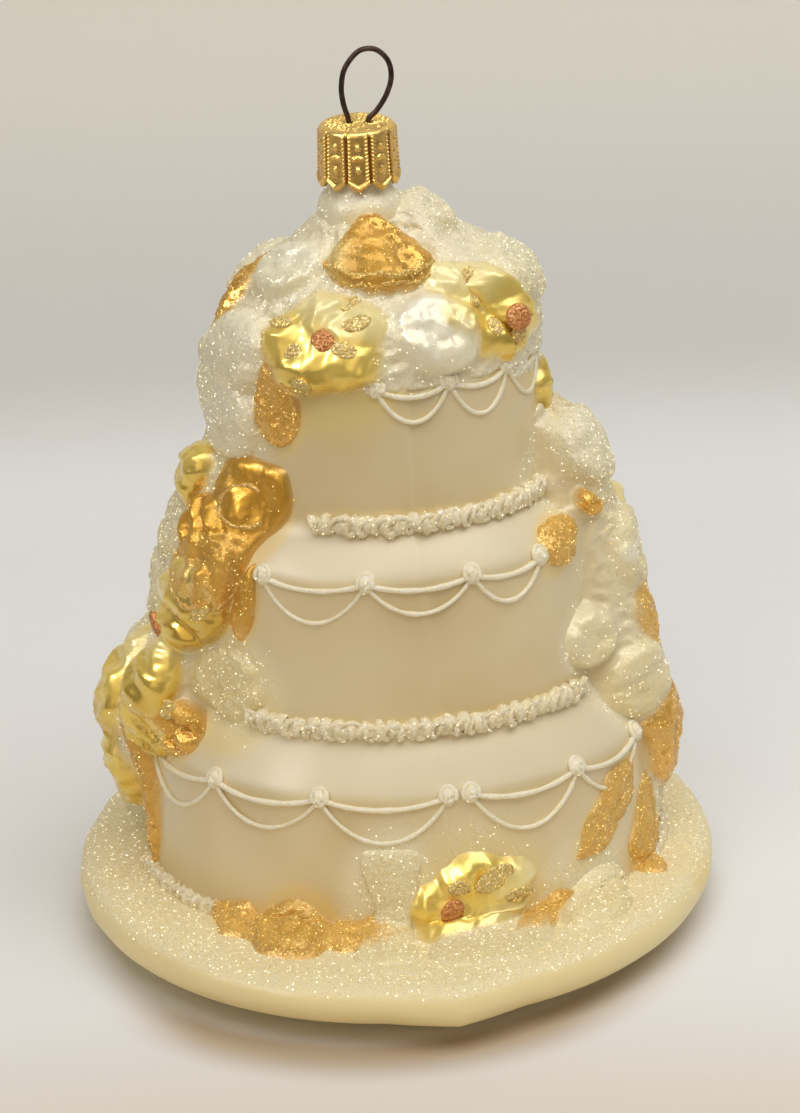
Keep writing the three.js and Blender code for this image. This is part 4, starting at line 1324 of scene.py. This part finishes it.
def glass_skin(glass):
    """Rings of the board, the tiers and the neck, and how many of them are the board's.

    Each has a height, a half width, a half depth, a centre across and along, and a share of the corner.
    """
    half = glass.half_width / MM
    deeper = glass.half_depth / MM - half
    rim, rim_z = BOARD["rim"], BOARD["rim_z"]
    spot, belly = BOARD["spot"], BOARD["belly"]
    rows = [(-LIFT, reach, reach, 0.0, 0.0, 0.0) for reach in (0.4 * spot, spot)]
    rows.append((BOARD["belly_z"], belly, belly + deeper, BOARD["x"], BOARD["y"], 0.0))
    for turn in np.radians(np.linspace(*BOARD["roll"])):
        a = half - rim + rim * math.cos(turn)
        rows.append((rim_z + rim * math.sin(turn), a, a + deeper, BOARD["x"], BOARD["y"], 1.0))
    rows.append((BOARD["crown_z"], BOARD["crown"], BOARD["crown_depth"], BOARD["x"], 0.0, 0.2))
    rows.append(tuple(WALL[0]))
    board = evenly(np.array(rows, float), BOARD_STEP)[:-1]
    bore = np.array([(z, a, a, NECK_X, 0.0, 0.0) for z, a in BORE])
    return np.concatenate([board, WALL, bore]), len(board)


def fade(name, z):
    """How far a named fade has come at a height."""
    return smooth(*FADES[name], z)


def mist(points, mark):
    """How much overspray reaches each point around the flowers in a mark's paint."""
    paint, spread, lift, most = MISTS[mark]
    share = np.zeros(len(points))
    for flower in FLOWERS:
        strength = HALOS.get((flower.name, paint), float(flower.paint == paint))
        if strength:
            half_width, half_height, _ = flower.size
            origin, axes = stand(*flower.place)
            x, y, z = ((points - origin) @ axes).T
            away = np.hypot(x / half_width, (y + lift) / (half_height + abs(lift)))
            here = np.exp(-((np.maximum(away - 0.85, 0.0) / spread) ** 2)) * (np.abs(z) < 9.0)
            share = np.maximum(share, strength * here)
    return most * share


def glass_rings(glass, rows, angle):
    """Points of the rings, with the seam's corner and joint and the unevenness of blown glass."""
    z, a, b, x, y, seam = (column[:, None] for column in rows.T)
    turn = np.radians(angle)
    off = bearing_from(SEAM, angle)
    corner = seam * glass.seam_reach / MM * np.clip(1.0 - np.abs(off) / SEAM_SPREAD, 0.0, 1.0) ** 1.2
    ridge = 0.2 * hill(off, 0.0, 1.2)
    dent = 0.28 * smooth(0.0, 3.0, off) * smooth(34.0, 3.0, off)
    joint = fade("seam_foot", z) * fade("seam_top", z) * (ridge - dent)
    blown = ripple(on_ovals(z, a, b, x, y, turn), 17.0, 5)
    uneven = 0.2 * fade("blown_foot", z) * fade("blown_top", z) * blown
    out = corner + joint + uneven
    return on_ovals(z, a + out, b + out, x, y, turn)


def glass_marks(points, rows, board_rows, angle):
    """Where the glass is board or ledge, and where it has glitter, a white veil or mists of paint."""
    z = rows[:, 0]
    level = with_poles(-LIFT, np.repeat(z, angle.size), BORE[1][0])
    part = with_poles(0, np.repeat(np.arange(len(rows)), angle.size), len(rows))
    bearing = with_poles(0.0, np.tile(angle, len(rows)), 0.0)
    on_board = (part < board_rows).astype(float)
    off_board = 1.0 - on_board
    top = on_board * fade("board_face", level)
    patch = hill(bearing_from(PATCH, bearing), 0.0, PATCH_SPREAD) * fade("patch", level) * off_board
    neck = fade("neck", level)
    sugar = mist(points, "glitter") * off_board
    # The ledge mark, from the profile's slope: the finish paints the ledges paler as painted light from
    # above, and makes them duller.
    slope = -np.gradient(rows[:, 1]) / np.maximum(np.abs(np.gradient(z)), 0.05)
    ledge = smooth(0.15, 0.6, slope) * fade("last_ledge", z) * fade("first_ledge", z)
    return {
        "ledge": with_poles(0.0, np.repeat(ledge, angle.size), 0.0),
        "board": np.maximum(on_board, fade("board_edge", level)),
        "glitter": np.maximum(np.maximum(top, 0.55 * patch), np.maximum(sugar, 0.5 * neck)),
        "veil": np.maximum(0.8 * neck, mist(points, "veil")) * off_board,
        "yellow_mist": mist(points, "yellow_mist"),
        "amber_mist": mist(points, "amber_mist"),
    }


class CAKE_OT_glass(bpy.types.Operator):
    """Makes the blown glass: the board, the three tiers and the neck."""

    bl_idname = "cake.glass"
    bl_label = "Glass Tiers and Board"

    def execute(self, context):
        glass = context.scene.cake_glass
        rows, board_rows = glass_skin(glass)
        angle = SEAM + np.linspace(0.0, 360.0, RING_POINTS, endpoint=False)
        rings = glass_rings(glass, rows, angle)
        points, faces = ring_skin((0.0, 0.0, -LIFT), rings, (NECK_X, 0.0, BORE[1][0]))
        shell = Shell()
        shell.add(points, faces, **glass_marks(points, rows, board_rows, angle))
        material = pearl_finish(glass, context.scene.cake_flowers)
        show("glass_tiers", shell.mesh("glass_tiers"), material, GLASS_NODE)
        return {"FINISHED"}


def soften(rows, spread):
    """Rows with their steps eased over a distance given in rows."""
    reach = 3 * spread
    weights = hill(np.arange(-reach, reach + 1), 0.0, spread)
    weights /= weights.sum()
    padded = np.concatenate([np.repeat(rows[:1], reach, 0), rows, np.repeat(rows[-1:], reach, 0)])
    return np.stack([np.convolve(column, weights, "valid") for column in padded.T], 1)


def fine_turns(first, last, radius):
    """Angles all the way round, close together from first to last and wide apart elsewhere."""
    close = np.arange(first, last, math.degrees(MESH / radius))
    return np.concatenate([close, np.linspace(last, first + 360.0, 48, endpoint=False)])


# Under which height a flower lies on the board, and over which at the top
BOARD_REGION, TOP_REGION = 13.0, 84.0
# The regions of the flowers' skin: name, lowest and highest place on the profile, first and last angle,
# mean radius, and the bodies in it
REGIONS = (
    ("top_flowers", 74.0, 120.5, -180.0, 176.0, 20.0, ("crown", "right_crown")),
    ("left_flowers", 7.5, 90.0, -172.0, -30.0, 36.0, ("left",)),
    ("right_flowers", 7.5, 90.0, 42.0, 140.0, 36.0, ("right",)),
    ("board_flowers", -1.0, 27.0, -180.0, 178.0, 44.0, ()),
)


class CAKE_OT_flowers(bpy.types.Operator):
    """Makes the moulded flowers and leaves, one skin for each region of the glass."""

    bl_idname = "cake.flowers"
    bl_label = "Flowers and Leaves"

    def execute(self, context):
        glass = context.scene.cake_glass
        material = flower_finish(glass, context.scene.cake_flowers)
        for name, skin in flower_skins(glass).items():
            rings = skin.points
            points, faces = ring_skin(rings[0].mean(0), rings, rings[-1].mean(0))
            marks = {key: with_poles(0.0, value, 0.0) for key, value in skin.marks.items()}
            shell = Shell()
            shell.add(points, faces, **marks)
            show(name, shell.mesh(name), material, GLASS_NODE)
        return {"FINISHED"}


def hem_paths(skins, radius):
    """The strings of glitter on the flowers, uneven in thickness."""
    paths = []
    for k, (name, across, up, half_width, half_height, first, last) in enumerate(HEMS):
        line = []
        for t in np.radians(np.linspace(first, last, 25)):
            at = (across + half_width * math.cos(t), up + half_height * math.sin(t))
            origin, axes = seat(skins, name, *at)
            line.append(origin - HEM_SUNK * axes[:, 2])
        wobble = 1.0 + 0.22 * ripple(np.array(line), 2.4, 90 + k)
        paths.append((line, radius * wobble))
    return paths


class CAKE_OT_centres(bpy.types.Operator):
    """Makes the orange buttons, the gold dabs and the gold hems on the flowers."""

    bl_idname = "cake.centres"
    bl_label = "Buttons, Dabs and Hems"

    def execute(self, context):
        flowers = context.scene.cake_flowers
        skins = flower_skins(context.scene.cake_glass)
        orange = glitter_paint_finish("orange_glitter", flowers.button, flowers.button_light)
        gold = glitter_paint_finish("gold_glitter", flowers.gold, flowers.gold_light)
        groups = (
            ("orange_buttons", [(*row, 0) for row in BUTTONS], BUTTON_DOME, orange),
            ("gold_dabs", DABS, DAB_DOME, gold),
        )
        for piece, rows, (depth, grain, seed), material in groups:
            shell = Shell()
            for k, (name, across, up, half_width, half_height, turn) in enumerate(rows):
                rings = dome_rings(half_width, half_height, depth, levels=12, count=40, turn=turn)
                rings[1:, :, 2] += grain * ripple(rings[1:] * (1.0, 1.0, 0.0), 0.55, seed + k)
                add_dome(shell, seat(skins, name, across, up), rings, 1.0)
            show(piece, shell.mesh(piece), material, GLASS_NODE)
        gilt = glitter_paint_finish("hem_glitter", flowers.orange, flowers.gold)
        pipe("gold_hems", hem_paths(skins, flowers.hem), STRING_SIDES, gilt, GLASS_NODE)
        return {"FINISHED"}


def swag_strings(icing, rim, sags, run):
    """An upper and a lower string from knot to knot of a run."""
    share = np.linspace(0.0, 1.0, SWAG_POINTS)
    dip = (4.0 * share * (1.0 - share)) ** SWAG_POWER
    upper, lower = sags
    paths = []
    for k, (start, stop) in enumerate(zip(run, run[1:])):
        slack = 1.0 + 0.12 * math.sin(5.3 * start)
        angles = start + (stop - start) * share
        for sag, thick, out in zip((upper, lower * slack), (icing.upper, icing.lower), SWAG_OUTS):
            path = on_wall(angles, rim - sag * dip, out)
            paths.append((path, thick * (1.0 + 0.13 * ripple(path, 4.0, int(rim) + k))))
    return paths


def knot_arch(icing, rim, knot):
    """A small arch of string over a knot."""
    a, b, _ = outline(rim)
    c, s = cos_sin(knot)
    reach = np.degrees(ARCH_WIDTH / math.hypot(a * c, b * s))
    bow = np.radians(np.linspace(-35, 215, 17))
    height = rim + ARCH_FOOT + ARCH_RISE * np.sin(bow)
    return on_wall(knot + reach * np.cos(bow), height, ARCH_OUT), 1.05 * icing.upper


def swag_paths(icing):
    """The strings of all the swags, with an arch over each knot."""
    paths = []
    for (_, _, _, _, rim), runs, sags in zip(TIERS, SWAG_RUNS, SWAG_SAGS):
        for run in runs:
            paths += swag_strings(icing, rim, sags, run)
            paths += [knot_arch(icing, rim, knot) for knot in run]
    return paths


def border_run(icing, tier, k, start, stop):
    """A lumpy core of paste along part of a tier's foot, and the looped string over it."""
    _, base, _, foot, _ = TIERS[tier]
    middle = foot + BORDER_RISE
    around = math.radians(stop - start) * base * (1.0 + OVAL) / 2.0
    loops = round(around * MM / icing.pitch)
    share = np.linspace(0.0, 1.0, loops * 16 + 1)
    ways = np.stack([share * around, np.full_like(share, 7.0 * tier), np.full_like(share, k)], -1)

    def sway(size, scale, seed):
        return size * ripple(ways, scale, seed + tier)

    phase = TAU * loops * share + sway(1.1, 4.0, 45)
    beads = 0.92 + 0.24 * np.cos(phase) + sway(0.14, 1.4, 21)
    core = on_wall(start + (stop - start) * share, middle + sway(0.25, 2.0, 25), 0.45)
    size = icing.scroll / MM * (1.0 + sway(0.3, 2.6, 31))
    along = share * around + 0.8 * size * np.sin(phase)
    out = 1.0 + 0.5 * np.cos(phase + 0.9) + sway(0.3, 2.0, 61)
    string = on_wall(start + (stop - start) * along / around, middle + size * np.cos(phase), out)
    thick = icing.scroll_string * (1.0 + sway(0.4, 1.0, 77))
    return [(core[::2], icing.scroll_core * beads[::2]), (string, thick)]


def border_paths(icing):
    """The cores and the looped strings of all the borders."""
    paths = []
    for tier, runs in enumerate(BORDER_RUNS):
        for k, (start, stop) in enumerate(runs):
            paths += border_run(icing, tier, k, start, stop)
    return paths


def knot_blobs():
    """A lump of paste under each knot's arch."""
    shell = Shell()
    for (_, _, _, _, rim), runs in zip(TIERS, SWAG_RUNS):
        for run in runs:
            for k, angle in enumerate(run):
                rings = dome_rings(*KNOT, levels=10, count=24)
                rings[1:, :, 2] += 0.2 * ripple(rings[1:], 1.1, k + int(rim))
                spin = 13.0 * math.sin(9.1 * angle)
                add_dome(shell, stand(angle, rim - 0.1, 0.0, 6.0, spin), rings, 0.3)
    return shell


class CAKE_OT_icing(bpy.types.Operator):
    """Makes the piped swags with their knots, and the looped borders."""

    bl_idname = "cake.icing"
    bl_label = "Piped Icing"

    def execute(self, context):
        icing = context.scene.cake_icing
        paste = icing_finish("sugar_paste", icing.paste, icing.paste_light)
        border = icing_finish("border_paste", icing.border, icing.border_light)
        pipe("swag_strings", swag_paths(icing), STRING_SIDES, paste, GLASS_NODE)
        pipe("looped_borders", border_paths(icing), STRING_SIDES, border, GLASS_NODE)
        show("swag_knots", knot_blobs().mesh("swag_knots"), paste, GLASS_NODE)
        return {"FINISHED"}


class CAKE_OT_glitter(bpy.types.Operator):
    """Scatters glitter flakes over the board, the white flowers and the glittered amber."""

    bl_idname = "cake.glitter"
    bl_label = "Glitter"

    def execute(self, context):
        glitter = context.scene.cake_glitter
        white = flake_finish("sugar_flakes", glitter.sugar, 0.0)
        gold = flake_finish("gilt_flakes", glitter.gilt, 0.4)
        tree = flake_tree()
        work = [("glass_tiers", "board_glitter", "glitter", glitter.board, white)]
        for mark, number, material in (("sugar", glitter.white, white), ("gilt", glitter.gold, gold)):
            for name, *_ in REGIONS:
                work.append((name, name.replace("flowers", mark), mark, number, material))
        work += [
            ("gold_dabs", "dab_glitter", "glitter", glitter.gold, gold),
            ("looped_borders", "border_glitter", "glitter", 0.8 * glitter.white, white),
            ("swag_knots", "knot_glitter", "glitter", glitter.white, white),
        ]
        for seed, (source, name, mark, number, material) in enumerate(work):
            mesh = bpy.data.objects[source].data.copy()
            values = {"Mark": mark, "Number": number / MM**2, "Seed": seed, "Material": material}
            piece = run_nodes(name, mesh, tree, {**values, "Flake": glitter.flake})
            settle(piece, material, GLASS_NODE)
        return {"FINISHED"}


def cap_emboss(across, down):
    """Height of the stamped pattern on a panel, 0 to 1, by place across (-1 to 1) and down (0 to 1)."""
    tall = 8.7 / 1.9
    dots = 0.0
    for at, wide in ((0.17, 0.2), (0.58, 0.18)):
        dots = dots + hill(across, 0.0, wide) * hill(down * tall, at * tall, 0.2)
    for side in (-1, 1):
        u = across - side * 0.24
        v = (down - 0.38) * tall
        along, beside = u * 0.8 + side * v * 0.6, v * 0.8 - side * u * 0.6
        dots = dots + np.exp(-((along / 0.25) ** 2) - ((beside / 0.12) ** 2))
    row = 0.5 + 0.5 * np.cos(TAU * down * 13.0)
    beads = hill(np.abs(across), 0.72, 0.12) * row * smooth(0.9, 0.82, down)
    hem = hill(down, 0.915, 0.032) * smooth(0.95, 0.8, np.abs(across))
    return np.clip(dots + 0.8 * beads + hem, 0.0, 1.0)


def cap_rings(radius, emboss):
    """Rings of the cap, down its inside and up its panels to the top, and where it gets painted shade in
    grooves, slots and inside.
    """
    skirt, wall, groove, shoulder = (CAP[key] for key in ("skirt", "wall", "groove", "shoulder"))
    count = CAP["panels"] * CAP["panel_points"]
    turn = np.linspace(0.0, TAU, count, endpoint=False)
    across = ((np.arange(count) / CAP["panel_points"] + 0.5) % 1.0) * 2.0 - 1.0
    hem = CAP["tip"] + (CAP["valley"] - CAP["tip"]) * np.abs(across) ** 1.2
    shoulder_z = CAP["top"] - shoulder
    rings, marks = [], []

    def add(reach, level, recess):
        rings.append(on_ovals(level, reach, reach, NECK_X, 0.0, turn))
        marks.append(np.broadcast_to(recess, turn.shape))

    for level in np.linspace(CAP["top"] - wall, CAP["inside_z"], 4):
        add(radius - 2 * wall, level, 1.0)
    add(skirt - wall - groove, hem, 0.8)
    gap = np.exp(-(((1.0 - np.abs(across)) / 0.10) ** 2))
    for down in np.linspace(1.0, 0.0, CAP["panel_rows"]):
        raised = cap_emboss(across, down)
        reach = radius + (skirt - radius) * down - groove * gap + emboss * raised
        # Painted shade: the grooves between the panels and the ground between the stamped beads get darker
        # gold.
        recess = np.clip(gap + 0.35 * (1.0 - raised), 0.0, 1.0)
        add(reach, hem * down + shoulder_z * (1.0 - down), recess)
    for step in np.radians(np.linspace(12, 90, 8)):
        reach = radius - shoulder * (1.0 - math.cos(step))
        add(reach - 0.5 * groove * gap * math.cos(step), shoulder_z + shoulder * math.sin(step), 0.0)
    for reach in np.linspace(radius - shoulder - 0.15, 0.15, CAP["top_rings"]):
        x = reach * np.sin(turn)
        y = -reach * np.cos(turn)
        legs = np.minimum(np.hypot(x - LEFT_LEG, y), np.hypot(x - RIGHT_LEG, y))
        between = smooth(LEFT_LEG - 0.2, LEFT_LEG, x) * smooth(RIGHT_LEG + 0.2, RIGHT_LEG, x)
        cut = np.maximum(smooth(0.85, 0.62, legs), smooth(CAP["slot"], 0.12, np.abs(y)) * between)
        grain = 0.16 * ripple(np.stack([x, y, 0.0 * x], -1), 0.6, 3)
        add(reach, CAP["top"] + grain * smooth(0.0, 1.0, reach) - 0.5 * cut, cut)
    return np.array(rings), marks


class CAKE_OT_cap(bpy.types.Operator):
    """Makes the stamped cap over the neck."""

    bl_idname = "cake.cap"
    bl_label = "Stamped Cap"

    def execute(self, context):
        cap = context.scene.cake_cap
        rings, recess = cap_rings(cap.radius / MM, cap.emboss / MM)
        points, faces = ring_skin((NECK_X, 0.0, CAP["top"] - CAP["wall"]), rings, rings[-1].mean(0))
        shell = Shell()
        shell.add(points, faces, recess=with_poles(1.0, recess, 1.0))
        show("stamped_cap", shell.mesh("stamped_cap"), cap_finish(cap), CAP_NODE)
        return {"FINISHED"}


def curve_through(points, steps):
    """A smooth line through points, with each bend eased by the distances between them."""
    points = np.asarray(points, float)
    padded = np.concatenate([2 * points[:1] - points[1:2], points, 2 * points[-1:] - points[-2:-1]])
    line = []
    for p0, p1, p2, p3 in zip(padded, padded[1:], padded[2:], padded[3:]):
        d0, d1, d2 = (np.linalg.norm(q - p) ** 0.5 for p, q in ((p0, p1), (p1, p2), (p2, p3)))
        m1 = ((p1 - p0) / d0 - (p2 - p0) / (d0 + d1) + (p2 - p1) / d1) * d1
        m2 = ((p2 - p1) / d1 - (p3 - p1) / (d1 + d2) + (p3 - p2) / d2) * d1
        t = np.linspace(0.0, 1.0, steps, endpoint=False)[:, None]
        first = (2 * t**3 - 3 * t**2 + 1) * p1 + (t**3 - 2 * t**2 + t) * m1
        line.append(first + (3 * t**2 - 2 * t**3) * p2 + (t**3 - t**2) * m2)
    return np.concatenate(line + [points[-1:]])


class CAKE_OT_wire(bpy.types.Operator):
    """Makes the wire loop that springs out of the cap."""

    bl_idname = "cake.wire"
    bl_label = "Wire Loop"

    def execute(self, context):
        cap = context.scene.cake_cap
        route = [(NECK_X + x, 0.0, z) for x, z in LOOP_ROUTE]
        lines = [(curve_through(route, 14), cap.wire)]
        pipe("wire_loop", lines, WIRE_SIDES, wire_finish(cap), WIRE_NODE)
        return {"FINISHED"}


def sweep_mesh():
    """A paper floor that curves up behind, and more floor beyond the curve."""
    half, bend_y, bend = SWEEP["half"], SWEEP["bend_y"], SWEEP["bend"]
    profile = [(y, 0.0) for y in (-half, -0.4, -0.08, 0.0)]
    for t in np.linspace(0.0, math.pi / 2, 25):
        profile.append((bend_y + bend * math.sin(t), bend - bend * math.cos(t)))
    profile += [(bend_y + bend, SWEEP["mid"]), (bend_y + bend, SWEEP["top"])]
    points = [(x, y, z) for y, z in profile for x in (-half, half)]
    faces = [(2 * i, 2 * i + 1, 2 * i + 3, 2 * i + 2) for i in range(len(profile) - 1)]
    last = len(points)
    corners = ((-half, SWEEP["beyond"]), (half, SWEEP["beyond"]), (half, half), (-half, half))
    points += [(x, y, SWEEP["under"]) for x, y in corners]
    faces.append((last, last + 1, last + 2, last + 3))
    mesh = bpy.data.meshes.new("paper_sweep")
    mesh.from_pydata(points, [], faces)
    mesh.shade_smooth()
    return mesh


def look(place, aim, roll=0.0):
    """Where a camera or lamp stands, turned to face a point."""
    place = np.array(place)
    ahead = np.array(aim) - place
    ahead /= np.linalg.norm(ahead)
    right = np.cross(ahead, (0.0, 0.02, 1.0))
    right /= np.linalg.norm(right)
    up = np.cross(right, ahead)
    cos, sin = cos_sin(roll)
    axes = (right * cos - up * sin, right * sin + up * cos, -ahead, place)
    return Matrix([[axis[k] for axis in axes] for k in range(3)] + [[0.0, 0.0, 0.0, 1.0]])


def add_light(name, power, place, size, colour):
    """A rectangle of light that faces the ornament."""
    light = bpy.data.lights.new(name, "AREA")
    light.shape = "RECTANGLE"
    light.size, light.size_y = size
    light.energy = power
    light.color = colour
    lamp = bpy.data.objects.new(name, light)
    lamp.matrix_world = look(place, LAMP_AIM)
    bpy.context.scene.collection.objects.link(lamp)
    return lamp


def warm_room(strength):
    """An even warm light all round."""
    world = bpy.data.worlds.new("warm_room")
    world.use_nodes = True
    world.node_tree.nodes.clear()
    maker = NodeMaker(world.node_tree)
    glow = maker.add("ShaderNodeBackground", None, {"Color": ROOM_GLOW, "Strength": strength})
    maker.add("ShaderNodeOutputWorld", None, {"Surface": glow.outputs[0]})
    return world


def photo_camera(stage):
    """The camera that stands where the photo was taken from."""
    lens = bpy.data.cameras.new("photo_camera")
    lens.lens = stage.lens
    lens.sensor_width = SENSOR_MM
    lens.clip_start = CLIP_START
    camera = bpy.data.objects.new("photo_camera", lens)
    place = (CAMERA_X, -stage.distance, stage.height)
    camera.matrix_world = look(place, (CAMERA_X, 0.0, stage.aim), stage.roll)
    bpy.context.scene.collection.objects.link(camera)
    return camera


class CAKE_OT_stage(bpy.types.Operator):
    """Makes the paper sweep, the soft light and the camera."""

    bl_idname = "cake.stage"
    bl_label = "Stage"

    def execute(self, context):
        stage = context.scene.cake_stage
        sweep = bpy.data.objects.new("paper_sweep", sweep_mesh())
        sweep.data.materials.append(paper_finish(stage))
        context.scene.collection.objects.link(sweep)
        context.scene.world = warm_room(stage.fill)
        for name, setting, place, size, colour in LAMPS:
            lamp = add_light(name, getattr(stage, setting), place, size, colour)
            lamp.visible_diffuse = setting != "window"
        context.scene.camera = photo_camera(stage)
        context.scene.view_settings.view_transform = "Standard"
        return {"FINISHED"}


OPERATORS = (
    CAKE_OT_glass,
    CAKE_OT_flowers,
    CAKE_OT_centres,
    CAKE_OT_icing,
    CAKE_OT_glitter,
    CAKE_OT_cap,
    CAKE_OT_wire,
    CAKE_OT_stage,
)


class CAKE_PT_ornament(bpy.types.Panel):
    """Lists the pieces of the ornament in the sidebar."""

    bl_idname = "CAKE_PT_ornament"
    bl_label = "Cake Ornament"
    bl_space_type = "VIEW_3D"
    bl_region_type = "UI"
    bl_category = "Cake Ornament"

    def draw(self, context):
        for operator in OPERATORS:
            self.layout.operator(operator.bl_idname)


def register():
    for cls in (*SETTINGS.values(), *OPERATORS, CAKE_PT_ornament):
        bpy.utils.register_class(cls)
    for name, cls in SETTINGS.items():
        setattr(bpy.types.Scene, name, bpy.props.PointerProperty(type=cls))


def unregister():
    for name in SETTINGS:
        delattr(bpy.types.Scene, name)
    for cls in (CAKE_PT_ornament, *reversed(OPERATORS), *reversed(SETTINGS.values())):
        bpy.utils.unregister_class(cls)


def main():
    register()
    bpy.ops.cake.glass()
    bpy.ops.cake.flowers()
    bpy.ops.cake.centres()
    bpy.ops.cake.icing()
    bpy.ops.cake.glitter()
    bpy.ops.cake.cap()
    bpy.ops.cake.wire()
    bpy.ops.cake.stage()


if __name__ == "__main__":
    main()
